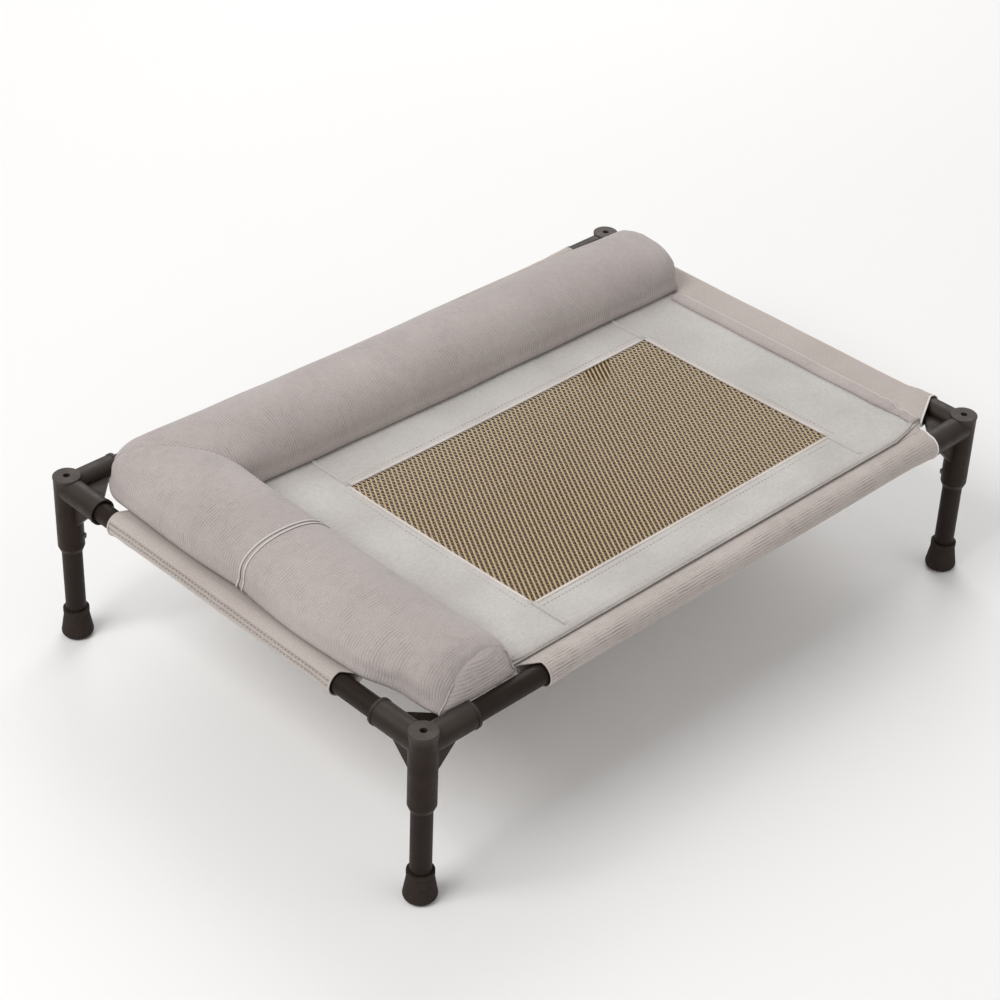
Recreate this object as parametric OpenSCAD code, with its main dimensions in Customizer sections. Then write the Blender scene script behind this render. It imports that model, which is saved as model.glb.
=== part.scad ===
// Raised pet cot: a tube frame on moulded corner fittings, a sewn sling with a mesh window,
// and an L-shaped bolster that lifts off the sling. Millimetres, +Z up.
// The origin is on the floor under the middle of the frame, with +X along the cot.

/* [Frame] */
// Distance between the leg axes along the cot
frame_l = 700; // [600:10:1000]
// Distance between the leg axes across the cot
frame_w = 475; // [420:5:700]
// Height of the fitting tops above the floor
frame_h = 178; // [150:1:260]
// Outside diameter of the rail tubes
rail_d = 19; // [17:0.5:22]
// Outside diameter of the leg tubes
leg_d = 19; // [17:0.5:22]
// Wall of the tubes
tube_wall = 1.2; // [0.8:0.1:2]

/* [Corner fittings] */
// Radial gap between a tube and its socket
socket_gap = 0.15; // [0.05:0.05:0.3]
// Gap between the end of a tube and the stop in its socket
end_gap = 0.3; // [0.1:0.1:0.8]
// Wall of the leg socket
leg_socket_wall = 2.85; // [2:0.05:4]
// Length of the leg socket, down from the top of the fitting
leg_socket_l = 81; // [70:1:95]
// Width of the chamfer round the foot of the leg socket
toe_w = 2; // [1:0.1:2.5]
// Height of the chamfer round the foot of the leg socket
toe_h = 5; // [3:0.5:8]
// Wall of the rail arms
arm_wall = 2.35; // [2:0.05:4]
// Reach of a rail arm, from the leg axis to its mouth
arm_reach = 53; // [48:1:70]
// Distance from the leg axis to the stop of a rail
rail_stop = 16; // [14:0.5:20]
// Length of the lip at the mouth of an arm
lip_l = 3; // [2:0.5:5]
// Rise of the lip above the arm
lip_rise = 0.6; // [0.2:0.1:1]
// Depth of the open mouth round a rail
mouth_l = 3; // [1:0.5:4]
// Radial width of the open mouth round a rail
mouth_gap = 1.4; // [0.5:0.1:1.5]
// Thickness of the disc on top of the fitting
disc_t = 2; // [1.5:0.1:4]
// Overhang of the disc past the leg socket
disc_lap = 0.4; // [0.2:0.1:1]
// Rise of the disc above the arms
disc_rise = 1; // [0.5:0.1:1.5]
// Bevel on the edge of the disc
disc_bevel = 0.5; // [0.2:0.1:1]
// Diameter of the pole hole in the disc
pole_hole_d = 6.4; // [5:0.1:8]
// Depth of the pole hole
pole_hole_l = 25; // [15:1:30]
// Floor between the pole hole and the leg tube
pole_floor = 3; // [2:0.5:6]
// Thickness of the upright web under an arm
gusset_t = 6; // [4:0.5:10]
// Reach of the upright web along the arm, from the leg axis
gusset_reach = 36; // [28:1:38]
// Height of the upright web below the arm
gusset_h = 24; // [15:1:35]
// Thickness of the flat web between the arms
web_t = 4; // [3:0.5:6]
// Reach of the flat web along each arm, from the leg axis
web_reach = 50; // [35:1:52]

/* [Screws] */
// Diameter of a screw shank
screw_d = 4; // [3:0.1:5]
// Length of a screw under its head
screw_l = 9; // [7:0.5:11]
// Length of the pointed end of a screw
screw_tip_l = 2; // [1:0.5:3]
// Diameter of a screw head
screw_head_d = 7; // [6:0.1:9]
// Height of a screw head
screw_head_h = 2.2; // [1.5:0.1:3]
// Width of each arm of the cross recess
recess_w = 1.1; // [0.8:0.1:1.4]
// Depth of the cross recess
recess_l = 1.2; // [0.6:0.1:1.4]
// Radial gap round a screw
screw_gap = 0.1; // [0.05:0.05:0.2]
// Depth of the flat under a screw head
spot_l = 0.6; // [0.4:0.1:1]
// Margin of the flat round a screw head
spot_margin = 0.5; // [0.3:0.1:1]
// Distance from the mouth of an arm to its screw
rail_screw_in = 9; // [8:0.5:11]
// Height of a leg screw above the foot of its socket
leg_screw_up = 15; // [11:0.5:25]

/* [Feet] */
// Height of a foot
foot_h = 30; // [20:1:45]
// Wall of a foot at its rim
foot_wall = 2.6; // [1.5:0.1:4]
// Flare of a foot past its rim
foot_flare = 2.8; // [1:0.1:6]
// Rounding of the flared edge
foot_round = 5; // [3:0.5:8]
// Height of the straight rim
foot_rim_h = 4; // [2:0.5:8]
// Depth of the groove under the rim
foot_groove = 0.7; // [0.3:0.1:1]
// Rubber under the end of the leg tube
foot_floor = 5; // [3:0.5:10]
// Radial gap between a foot and its leg tube
foot_gap = 0.1; // [0.05:0.05:0.3]

/* [Sling] */
// Thickness of the sleeve cloth
sleeve_t = 1; // [0.6:0.1:1.6]
// Radial slack between a sleeve and its rail
sleeve_slack = 0.4; // [0.2:0.1:0.8]
// Gap between a sleeve and the mouth of an arm
sleeve_end_gap = 0.8; // [0.3:0.1:0.9]
// Thickness of the border cloth
border_t = 1.2; // [0.8:0.1:2]
// Drop of the border top below the sleeve tops
border_drop = 2.9; // [2:0.1:4]
// Distance from a rail axis to the seam of its sleeve
seam_in = 16; // [14:0.5:24]
// Distance from the right rail axis to the seam of its sleeve
right_seam_in = 36; // [26:1:60]
// Width of the rolled welt beside the right seam
welt_w = 10; // [6:0.5:14]
// Height of the rolled welt
welt_h = 3.5; // [2:0.1:4.5]
// Distance from the left leg axes to the long sleeves
long_cut = 132; // [80:1:180]
// Distance from the front left leg axis to the left sleeve
left_front_cut = 101.5; // [70:0.5:140]
// Distance from the back left leg axis to the left sleeve
left_back_cut = 71.5; // [60:0.5:140]

/* [Mesh window] */
// Distance from the left rail axis to the window
left_border = 188; // [150:1:260]
// Distance from the right rail axis to the window
right_border = 122; // [80:1:200]
// Distance from the front rail axis to the window
front_border = 67; // [40:1:110]
// Distance from the back rail axis to the window
back_border = 172; // [140:1:220]
// Thickness of the mesh
mesh_t = 0.8; // [0.5:0.1:1.2]
// Lap of the mesh under the borders
mesh_lap = 10; // [5:1:20]
// Gaps in the mesh along the cot
mesh_nx = 18; // [8:1:20]
// Gaps in the mesh across the cot
mesh_ny = 10; // [6:1:12]
// Width of a strand of the mesh
strand_w = 4; // [2:0.5:6]
// Width of the binding round the window
binding_w = 6; // [4:0.5:10]
// Thickness of the binding
binding_t = 0.8; // [0.5:0.1:1.2]
// Gap between the bindings at the window corners
binding_gap = 0.5; // [0.3:0.1:1]

/* [Bolster] */
// Width of each arm of the bolster
bolster_w = 105; // [80:1:120]
// Height of the bolster
bolster_h = 45; // [35:1:70]
// Distance from the left rail axis to the bolster
bolster_left_set = 9; // [8:0.5:30]
// Distance from the back rail axis to the bolster's outer corner
bolster_back_set = 15; // [10:0.5:30]
// Distance from the front rail axis to the end of the left arm
bolster_front_set = 8; // [6:0.5:40]
// Distance from the right rail axis to the end of the back arm
bolster_right_set = 25; // [13:0.5:60]
// How far the back arm leans in towards the front at its free end
back_lean = 16; // [0:1:24]
// Radius of the outer corner in plan
bolster_corner_r = 56; // [20:1:60]
// Rounding of the free ends
bolster_end_r = 14; // [8:1:20]
// Rounding of the lower edge of the free ends
bolster_end_base_r = 5; // [3:0.5:8]
// How far the sides draw in between the ends of an arm
side_draw = 1; // [0:0.5:6]
// How far the crown drops towards the ends of an arm
crown_drop = 4; // [0:0.5:8]
// Depth of the sewn channels
channel_depth = 2.5; // [1:0.5:4]
// Width of the sewn channels
channel_w = 12; // [8:1:20]
// Distance from the outer corner to the cross seam of the left arm
cross_seam_in = 206; // [195:1:260]
// Thickness of the cover
cover_t = 1.2; // [0.8:0.1:2]
// Gap between the cover and its filling
fill_gap = 0.1; // [0.05:0.05:0.3]
// Length of a hook or loop tab
tab_l = 60; // [30:1:80]
// Width of a hook or loop tab
tab_w = 25; // [15:1:40]
// Thickness of a hook or loop tab
tab_t = 0.8; // [0.5:0.1:1.5]
// Gap between a hook tab and its loop tab
tab_gap = 0.3; // [0.2:0.1:0.5]
// Distance from the ends of an arm to the middle of its first and last tab
tab_margin = 110; // [90:1:130]
// Tabs under the left arm
left_tabs = 2; // [2:1:3]
// Tabs under the back arm
back_tabs = 3; // [2:1:4]

/* [Hidden] */
$fn = 96;
overcut = 1;

plastic_black = [0.17, 0.15, 0.14];
tube_black = [0.16, 0.14, 0.13];
rubber_black = [0.12, 0.11, 0.10];
screw_grey = [0.35, 0.34, 0.33];
sleeve_grey = [0.72, 0.67, 0.65];
border_grey = [0.75, 0.74, 0.71];
binding_grey = [0.80, 0.77, 0.74];
mesh_brown = [0.51, 0.44, 0.38];
bolster_grey = [0.68, 0.64, 0.62];
filling_white = [0.93, 0.92, 0.90];
tab_white = [0.85, 0.84, 0.82];

// Corners of the frame: name, side along X, side along Y
CORNERS = [
    ["front_left", -1, -1],
    ["front_right", 1, -1],
    ["back_left", -1, 1],
    ["back_right", 1, 1]
];
SIDES = ["front", "back", "left", "right"];

// Fittings
leg_bore_d = leg_d + 2 * socket_gap;
leg_socket_d = leg_bore_d + 2 * leg_socket_wall;
disc_d = leg_socket_d + 2 * disc_lap;
arm_bore_d = rail_d + 2 * socket_gap;
arm_d = arm_bore_d + 2 * arm_wall;
rail_z = frame_h - disc_rise - arm_d / 2;
socket_low = frame_h - leg_socket_l;
leg_stop = frame_h - pole_hole_l - pole_floor;

// Screws
screw_hole_d = screw_d + 2 * screw_gap;
spot_d = screw_head_d + 2 * spot_margin;
spot_out = 2 * screw_head_h + arm_wall;
rail_screw_at = arm_reach - rail_screw_in;
leg_screw_z = socket_low + leg_screw_up;
inward = 45;

// Tubes
rail_x_l = frame_l - 2 * (rail_stop + end_gap);
rail_y_l = frame_w - 2 * (rail_stop + end_gap);
leg_top = leg_stop - end_gap;

// Sling
sleeve_in_r = rail_d / 2 + sleeve_slack;
sleeve_r = sleeve_in_r + sleeve_t;
border_rise = sleeve_r - border_drop;
border_z = rail_z + border_rise;
mouth_cut = arm_reach + sleeve_end_gap;
left_seam = -frame_l / 2 + seam_in;
right_seam = frame_l / 2 - right_seam_in;
front_seam = -frame_w / 2 + seam_in;
back_seam = frame_w / 2 - seam_in;
window_left = -frame_l / 2 + left_border;
window_right = frame_l / 2 - right_border;
window_front = -frame_w / 2 + front_border;
window_back = frame_w / 2 - back_border;
window_l = window_right - window_left;
window_w = window_back - window_front;

// Bolster
bolster_z = border_z + 2 * tab_t + tab_gap;
left_arm_l = frame_w - bolster_front_set - bolster_back_set;
back_arm_l = frame_l - bolster_right_set - bolster_left_set;
cross_seam_at = left_arm_l - cross_seam_in;
bolster_left = -frame_l / 2 + bolster_left_set;
bolster_back = frame_w / 2 - bolster_back_set;
bolster_inner_y = bolster_back - bolster_w - back_lean;
back_slope = back_lean / back_arm_l;
welt_clear = 2;
// Length over which the rings of an arm turn from square to the mitre
turn_l = 60;
ring_n = 20;
end_rings = 3;
span_rings = 4;
turn_rings = 6;
// Powers of the section: sides, crown and base, and the height of its widest level
side_power = 0.9;
crown_power = 0.95;
base_power = 0.2;
base_press = 1.08;
belly = 0.38;

// A corner piece drawn at the front left corner, arms towards +X and +Y, moved to corner c
module at_corner(c)
    translate([c[1] * frame_l / 2, c[2] * frame_w / 2, 0])
        mirror([c[1] > 0 ? 1 : 0, 0, 0])
            mirror([0, c[2] > 0 ? 1 : 0, 0])
                children();

// Lays a shape drawn up the Z axis along the rail axis, towards +X
module along_rail()
    translate([0, 0, rail_z]) rotate([0, 90, 0]) children();

// Places a screw drawn along +Z at the underside of an arm
module at_arm_screw()
    translate([rail_screw_at, 0, rail_z - arm_d / 2 + spot_l]) children();

// Places a screw drawn along +Z at the inner side of the leg socket, pointing at the leg axis
module at_leg_screw()
    rotate(inward) translate([leg_socket_d / 2 - spot_l, 0, leg_screw_z]) rotate([0, -90, 0]) children();

module screw_cut() {
    cylinder(d = screw_hole_d, h = screw_l);
    translate([0, 0, -spot_out]) cylinder(d = spot_d, h = spot_out);
}

module leg_socket()
    rotate_extrude()
        polygon([
            [0, socket_low],
            [leg_socket_d / 2 - toe_w, socket_low],
            [leg_socket_d / 2, socket_low + toe_h],
            [leg_socket_d / 2, frame_h - disc_t],
            [disc_d / 2, frame_h - disc_t],
            [disc_d / 2, frame_h - disc_bevel],
            [disc_d / 2 - disc_bevel, frame_h],
            [0, frame_h]
        ]);

module rail_arm()
    along_rail() {
        cylinder(d = arm_d, h = arm_reach);
        translate([0, 0, arm_reach - lip_l]) cylinder(d = arm_d + 2 * lip_rise, h = lip_l);
    }

module gusset()
    rotate([90, 0, 0])
        translate([0, 0, -gusset_t / 2])
            linear_extrude(gusset_t)
                polygon([
                    [0, rail_z],
                    [gusset_reach, rail_z],
                    [gusset_reach, rail_z - arm_d / 2],
                    [leg_socket_d / 2, rail_z - arm_d / 2 - gusset_h],
                    [0, rail_z - arm_d / 2 - gusset_h]
                ]);

module flat_web()
    translate([0, 0, rail_z - web_t / 2])
        linear_extrude(web_t)
            polygon([[0, 0], [web_reach, 0], [0, web_reach]]);

module arm_cut() {
    along_rail() {
        translate([0, 0, rail_stop]) cylinder(d = arm_bore_d, h = arm_reach);
        translate([0, 0, arm_reach - mouth_l]) cylinder(d = arm_bore_d + 2 * mouth_gap, h = arm_reach);
    }
    at_arm_screw() screw_cut();
}

module leg_cut() {
    translate([0, 0, socket_low - overcut])
        cylinder(d = leg_bore_d, h = leg_stop - socket_low + overcut);
    translate([0, 0, frame_h - pole_hole_l]) cylinder(d = pole_hole_d, h = pole_hole_l + overcut);
    at_leg_screw() screw_cut();
}

// Turns an arm drawn towards +X into both arms of a corner
module both_arms()
    for (turn = [0, 1]) mirror([turn, -turn, 0]) children();

module corner_fitting(c)
    color(plastic_black)
        at_corner(c)
            difference() {
                union() {
                    leg_socket();
                    both_arms() rail_arm();
                    both_arms() gusset();
                    flat_web();
                }
                leg_cut();
                both_arms() arm_cut();
            }

module tube(d, l)
    difference() {
        cylinder(d = d, h = l);
        translate([0, 0, -overcut]) cylinder(d = d - 2 * tube_wall, h = l + 2 * overcut);
    }

module leg_tube(c)
    color(tube_black)
        at_corner(c)
            difference() {
                translate([0, 0, foot_floor]) tube(leg_d, leg_top - foot_floor);
                at_leg_screw() cylinder(d = screw_hole_d, h = screw_l);
            }

// A rail along X, centred, with a screw hole near each end
module rail_tube(l, span)
    color(tube_black)
        difference() {
            translate([-l / 2, 0, 0]) along_rail() tube(rail_d, l);
            for (end = [0, 1])
                mirror([end, 0, 0])
                    translate([-span / 2, 0, 0]) at_arm_screw() cylinder(d = screw_hole_d, h = screw_l);
        }

module long_rail(side)
    translate([0, side * frame_w / 2, 0]) rail_tube(rail_x_l, frame_l);

module cross_rail(side)
    translate([side * frame_l / 2, 0, 0]) rotate(90) rail_tube(rail_y_l, frame_w);

module foot(c) {
    bore_d = leg_d + 2 * foot_gap;
    rim_d = bore_d + 2 * foot_wall;
    foot_d = rim_d + 2 * foot_flare;
    color(rubber_black)
        at_corner(c)
            rotate_extrude()
                difference() {
                    union() {
                        translate([foot_d / 2 - foot_round, foot_round]) circle(r = foot_round);
                        polygon([
                            [0, 0],
                            [foot_d / 2 - foot_round, 0],
                            [foot_d / 2, foot_round],
                            [rim_d / 2 - foot_groove, foot_h - foot_rim_h],
                            [rim_d / 2, foot_h - foot_rim_h],
                            [rim_d / 2, foot_h],
                            [0, foot_h]
                        ]);
                    }
                    translate([0, foot_floor]) square([bore_d / 2, foot_h]);
                    translate([-foot_d, 0]) square([foot_d, foot_h]);
                }
}

// A pan head screw along +Z, with its head below the origin
module screw()
    color(screw_grey)
        difference() {
            union() {
                translate([0, 0, -screw_head_h])
                    cylinder(d1 = screw_head_d - screw_head_h, d2 = screw_head_d, h = screw_head_h);
                cylinder(d = screw_d, h = screw_l - screw_tip_l);
                translate([0, 0, screw_l - screw_tip_l])
                    cylinder(d1 = screw_d, d2 = screw_d / 4, h = screw_tip_l);
            }
            for (turn = [0, 90])
                rotate(turn)
                    translate([-screw_head_d / 4, -recess_w / 2, -screw_head_h - overcut])
                        cube([screw_head_d / 2, recess_w, recess_l + overcut]);
        }

module rail_screws()
    for (c = CORNERS) at_corner(c) both_arms() at_arm_screw() screw();

module leg_screws()
    for (c = CORNERS) at_corner(c) at_leg_screw() screw();

// Point where the tangent from tip meets a circle of radius r, on the side given by turn
function tangent_point(r, tip, turn) =
    let (a = atan2(tip[1], tip[0]) + turn * acos(r / norm(tip)))
    [r * cos(a), r * sin(a)];

// Section of a cloth loop round a rail, drawn out to the seam
module loop_section(r, seam) {
    k = r / sleeve_r;
    high = [seam * k, border_rise * k];
    low = [seam * k, (border_rise - border_t) * k];
    circle(r = r);
    polygon([[0, 0], tangent_point(r, low, -1), low, high, tangent_point(r, high, 1)]);
}

// A sleeve round the front rail, from x = from to x = to
module sleeve(from, to, seam)
    color(sleeve_grey)
        translate([from, 0, rail_z])
            rotate([90, 0, 90])
                linear_extrude(to - from)
                    difference() {
                        loop_section(sleeve_r, seam);
                        loop_section(sleeve_in_r, seam);
                    }

module long_sleeve(side)
    translate([0, side * frame_w / 2, 0])
        mirror([0, side > 0 ? 1 : 0, 0])
            sleeve(-frame_l / 2 + long_cut, frame_l / 2 - mouth_cut, seam_in);

module left_sleeve()
    translate([-frame_l / 2, 0, 0])
        mirror([1, -1, 0])
            sleeve(-frame_w / 2 + left_front_cut, frame_w / 2 - left_back_cut, seam_in);

module right_sleeve()
    translate([frame_l / 2, 0, 0])
        rotate(90)
            sleeve(-frame_w / 2 + mouth_cut, frame_w / 2 - mouth_cut, right_seam_in);

// A flat cloth panel with its top at the border level
module border(outline)
    color(border_grey)
        translate([0, 0, border_z - border_t]) linear_extrude(border_t) polygon(outline);

function rectangle(x0, y0, x1, y1) = [[x0, y0], [x1, y0], [x1, y1], [x0, y1]];

module front_border()
    border(rectangle(window_left, front_seam, window_right, window_front));

module back_border()
    border(rectangle(window_left, window_back, window_right, back_seam));

module left_border()
    border([
        [left_seam, -frame_w / 2 + left_front_cut],
        [-frame_l / 2 + long_cut, front_seam],
        [window_left, front_seam],
        [window_left, back_seam],
        [-frame_l / 2 + long_cut, back_seam],
        [left_seam, frame_w / 2 - left_back_cut]
    ]);

module right_border()
    border(rectangle(window_right, front_seam, right_seam, back_seam));

// The mesh laps under the borders and is open in the window
module mesh_panel() {
    pitch_x = window_l / mesh_nx;
    pitch_y = window_w / mesh_ny;
    color(mesh_brown)
        translate([window_left, window_front, border_z - border_t - mesh_t])
            linear_extrude(mesh_t)
                difference() {
                    translate([-mesh_lap, -mesh_lap])
                        square([window_l + 2 * mesh_lap, window_w + 2 * mesh_lap]);
                    for (i = [0 : mesh_nx - 1])
                        for (j = [0 : mesh_ny - 1])
                            translate([i * pitch_x + strand_w / 2, j * pitch_y + strand_w / 2])
                                square([pitch_x - strand_w, pitch_y - strand_w]);
                }
}

// Folded edges on top of the borders, round the window
module window_binding() {
    from = window_left + binding_gap;
    to = window_right - binding_gap;
    color(binding_grey)
        translate([0, 0, border_z])
            linear_extrude(binding_t)
                for (strip = [
                    [window_left - binding_w, window_front, window_left, window_back],
                    [window_right, window_front, window_right + binding_w, window_back],
                    [from, window_front - binding_w, to, window_front],
                    [from, window_back, to, window_back + binding_w]
                ])
                    polygon(rectangle(strip[0], strip[1], strip[2], strip[3]));
}

// A rolled seam on the right border, as far as the bolster
module sling_welt() {
    from = -frame_w / 2 + mouth_cut;
    to = bolster_inner_y - welt_clear;
    round_r = (welt_w * welt_w / 4 + welt_h * welt_h) / (2 * welt_h);
    color(sleeve_grey)
        translate([right_seam - welt_w / 2, to, border_z])
            rotate([90, 0, 0])
                linear_extrude(to - from)
                    intersection() {
                        translate([0, welt_h - round_r]) circle(r = round_r);
                        translate([-welt_w / 2, 0]) square([welt_w, welt_h]);
                    }
}

function signed_power(v, e) = sign(v) * pow(abs(v), e);

function stations(from, to, n) = [for (k = [1 : n]) from + (to - from) * k / n];

// A ring of an arm: outer and inner point in plan, drawn together by draw, and its low and high level
function ring(outer, inner, draw, low, high) =
    let (step = (inner - outer) * draw / bolster_w)
    [outer + step, inner - step, low, high];

function ring_points(r) =
    let (mid = r[2] + (r[3] - r[2]) * belly)
    [for (i = [0 : ring_n - 1])
        let (
            a = 360 * i / ring_n,
            across = (1 + signed_power(cos(a), side_power)) / 2,
            plan = r[0] + (r[1] - r[0]) * across,
            drop = (mid - r[2]) * base_press * pow(abs(sin(a)), base_power),
            rise = (r[3] - mid) * pow(abs(sin(a)), crown_power)
        )
        [plan[0], plan[1], a <= 180 ? mid + rise : max(r[2], mid - drop)]
    ];

// Outer edge of an arm at the distance s past the start of its turn: straight, then round the corner
function outer_edge(arm_l, s) =
    let (
        straight_l = bolster_w - bolster_corner_r + turn_l,
        turned = max(0, (s - straight_l) / bolster_corner_r) * 180 / PI
    )
    [
        arm_l - bolster_w - turn_l + min(s, straight_l) + bolster_corner_r * sin(turned),
        bolster_corner_r * (1 - cos(turned))
    ];

// Rings of an arm from its free end, at x = 0, to the mitre. The outer edge lies at y = 0, and inset
// shrinks the whole form. A seam at 0 means that the arm has no cross seam.
function arm_rings(arm_l, seam, inset) =
    let (
        turn_at = arm_l - bolster_w - turn_l,
        outer_l = bolster_w - bolster_corner_r + turn_l + bolster_corner_r * PI / 4,
        spans = seam > 0
            ? concat(
                stations(bolster_end_r, seam - channel_w / 2, span_rings),
                [seam, seam + channel_w / 2],
                stations(seam + channel_w / 2, turn_at, span_rings - 1)
            )
            : stations(bolster_end_r, turn_at, 2 * span_rings)
    )
    concat(
        [for (k = [0 : end_rings])
            let (
                a = 90 * k / end_rings,
                p = inset + bolster_end_r * (1 - cos(a)),
                shrink = 1 - sin(a)
            )
            ring(
                [p, 0],
                [p, bolster_w],
                inset + bolster_end_r * shrink,
                inset + bolster_end_base_r * shrink,
                bolster_h - inset - crown_drop - bolster_end_r * shrink
            )
        ],
        [for (p = spans)
            let (
                part = sin(180 * (p - bolster_end_r) / (turn_at - bolster_end_r)),
                sewn = p == seam ? channel_depth : 0
            )
            ring(
                [p, 0],
                [p, bolster_w],
                inset + side_draw * part + sewn,
                inset,
                bolster_h - inset - crown_drop * (1 - part) - sewn
            )
        ],
        [for (k = [1 : turn_rings])
            let (
                part = k / turn_rings,
                sewn = k == turn_rings ? channel_depth : 0
            )
            ring(
                outer_edge(arm_l, outer_l * part),
                [turn_at + turn_l * part, bolster_w],
                inset + sewn,
                inset,
                bolster_h - inset - crown_drop - sewn
            )
        ]
    );

// A closed form through rings. past carries the last ring on beyond the mitre, for cutting.
module ring_form(rings, past = 0) {
    last = rings[len(rings) - 1];
    shift = [past, past];
    all_rings = past > 0 ? concat(rings, [[last[0] + shift, last[1] + shift, last[2], last[3]]]) : rings;
    rows = [for (r = all_rings) ring_points(r)];
    n = len(rows);
    ends = [for (row = [rows[0], rows[n - 1]]) [for (axis = [0 : 2]) mean([for (p = row) p[axis]])]];
    start = n * ring_n;
    polyhedron(
        points = concat([for (row = rows) for (p = row) p], ends),
        faces = concat(
            [for (k = [0 : n - 2])
                for (i = [0 : ring_n - 1])
                    let (a = k * ring_n + i, b = k * ring_n + (i + 1) % ring_n)
                    each [[a, a + ring_n, b + ring_n], [a, b + ring_n, b]]
            ],
            [for (i = [0 : ring_n - 1]) [start, i, (i + 1) % ring_n]],
            [for (i = [0 : ring_n - 1])
                let (base = (n - 1) * ring_n)
                [start + 1, base + (i + 1) % ring_n, base + i]
            ]
        )
    );
}

function mean(values) = values * [for (v = values) 1] / len(values);

// A cover is open at the mitre, where the two arms are sewn together
module arm_cover(arm_l, seam)
    color(bolster_grey)
        difference() {
            ring_form(arm_rings(arm_l, seam, 0));
            ring_form(arm_rings(arm_l, seam, cover_t), overcut);
        }

module arm_filling(arm_l, seam)
    color(filling_white) ring_form(arm_rings(arm_l, seam, cover_t + fill_gap));

// Leans the bolster in towards the front, from nothing at its left side to back_lean at its right end
module leaning()
    multmatrix([
        [1, 0, 0, 0],
        [-back_slope, 1, 0, back_slope * bolster_left],
        [0, 0, 1, 0]
    ])
        children();

module at_left_arm()
    leaning()
        translate([bolster_left, -frame_w / 2 + bolster_front_set, bolster_z])
            mirror([1, -1, 0])
                children();

module at_back_arm()
    leaning()
        translate([frame_l / 2 - bolster_right_set, bolster_back, bolster_z])
            rotate(180)
                children();

// Tabs under an arm, with their tops at the level z
module arm_tabs(arm_l, n, z)
    color(tab_white)
        for (at = [for (k = [0 : n - 1]) tab_margin + (arm_l - bolster_w - 2 * tab_margin) * k / (n - 1)])
            translate([at - tab_l / 2, (bolster_w - tab_w) / 2, z - tab_t])
                cube([tab_l, tab_w, tab_t]);

module tabs(z) {
    at_left_arm() arm_tabs(left_arm_l, left_tabs, z);
    at_back_arm() arm_tabs(back_arm_l, back_tabs, z);
}

module hook_tabs()
    tabs(0);

module loop_tabs()
    tabs(-tab_t - tab_gap);

for (c = CORNERS) {
    corner_fitting(c);
    leg_tube(c);
    foot(c);
}
long_rail(-1);  // rail_front
long_rail(1);  // rail_back
cross_rail(-1);  // rail_left
cross_rail(1);  // rail_right
rail_screws();
leg_screws();
long_sleeve(-1);  // sleeve_front
long_sleeve(1);  // sleeve_back
left_sleeve();  // sleeve_left
right_sleeve();  // sleeve_right
front_border();  // border_front
back_border();  // border_back
left_border();  // border_left
right_border();  // border_right
mesh_panel();
window_binding();
sling_welt();
loop_tabs();
hook_tabs();
at_left_arm() arm_cover(left_arm_l, cross_seam_at);  // bolster_cover_left
at_back_arm() arm_cover(back_arm_l, 0);  // bolster_cover_back
at_left_arm() arm_filling(left_arm_l, cross_seam_at);  // bolster_filling_left
at_back_arm() arm_filling(back_arm_l, 0);  // bolster_filling_back
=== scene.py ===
"""The looks of a raised pet cot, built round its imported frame. Metres, +Z up."""
import math
from collections import namedtuple

import bmesh
import bpy
from mathutils import Matrix, Quaternion, Vector, noise
from mathutils.bvhtree import BVHTree
from mathutils.interpolate import poly_3d_calc


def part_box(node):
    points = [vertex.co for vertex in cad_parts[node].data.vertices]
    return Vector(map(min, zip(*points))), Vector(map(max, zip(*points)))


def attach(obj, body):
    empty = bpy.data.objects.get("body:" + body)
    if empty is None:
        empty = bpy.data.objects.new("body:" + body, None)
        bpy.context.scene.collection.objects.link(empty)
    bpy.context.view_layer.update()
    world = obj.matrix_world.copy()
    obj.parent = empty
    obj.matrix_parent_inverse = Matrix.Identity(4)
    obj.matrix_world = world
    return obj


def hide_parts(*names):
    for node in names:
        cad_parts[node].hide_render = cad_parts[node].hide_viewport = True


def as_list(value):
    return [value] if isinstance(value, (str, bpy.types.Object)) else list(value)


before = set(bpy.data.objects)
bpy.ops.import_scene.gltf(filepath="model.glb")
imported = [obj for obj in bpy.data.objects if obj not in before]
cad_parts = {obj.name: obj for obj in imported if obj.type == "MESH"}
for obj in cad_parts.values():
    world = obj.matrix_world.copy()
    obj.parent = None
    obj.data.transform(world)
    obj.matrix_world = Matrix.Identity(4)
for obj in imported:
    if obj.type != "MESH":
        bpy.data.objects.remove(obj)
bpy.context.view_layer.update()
scene = bpy.context.scene

MM = 0.001
TAU = 2 * math.pi
ALONG = Vector((1, 0, 0))
ACROSS = Vector((0, 1, 0))
UP = Vector((0, 0, 1))


def low(node):
    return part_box(node)[0]


def high(node):
    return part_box(node)[1]


def middle(node):
    return (low(node) + high(node)) / 2


# Places on the frame
RAIL_Z = middle("rail_front").z
FRONT_RAIL = middle("rail_front").y
BACK_RAIL = middle("rail_back").y
LEFT_RAIL = middle("rail_left").x
RIGHT_RAIL = middle("rail_right").x
SLEEVE_R = RAIL_Z - low("sleeve_front").z
SLING_TOP = high("border_front").z
PANEL_T = SLING_TOP - low("border_front").z
FRONT_SEAM = low("border_front").y
BACK_SEAM = high("border_back").y
LEFT_SEAM = low("border_left").x
RIGHT_SEAM = high("border_right").x
WINDOW_LEFT = high("border_left").x
WINDOW_RIGHT = low("border_right").x
WINDOW_FRONT = high("border_front").y
WINDOW_BACK = low("border_back").y

# Camera, fitted to the corner discs and the feet
VIEW_TURN = math.radians(-45.136)
VIEW_TILT = math.radians(33.629)
VIEW_ROLL = math.radians(2.224)
VIEW_TARGET = Vector((-34.5, 12.1, 178)) * MM
VIEW_DISTANCE = 2302.9 * MM
VIEW_LENS = 89.95
VIEW_SHIFT = (0.0076, -0.048)

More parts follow.
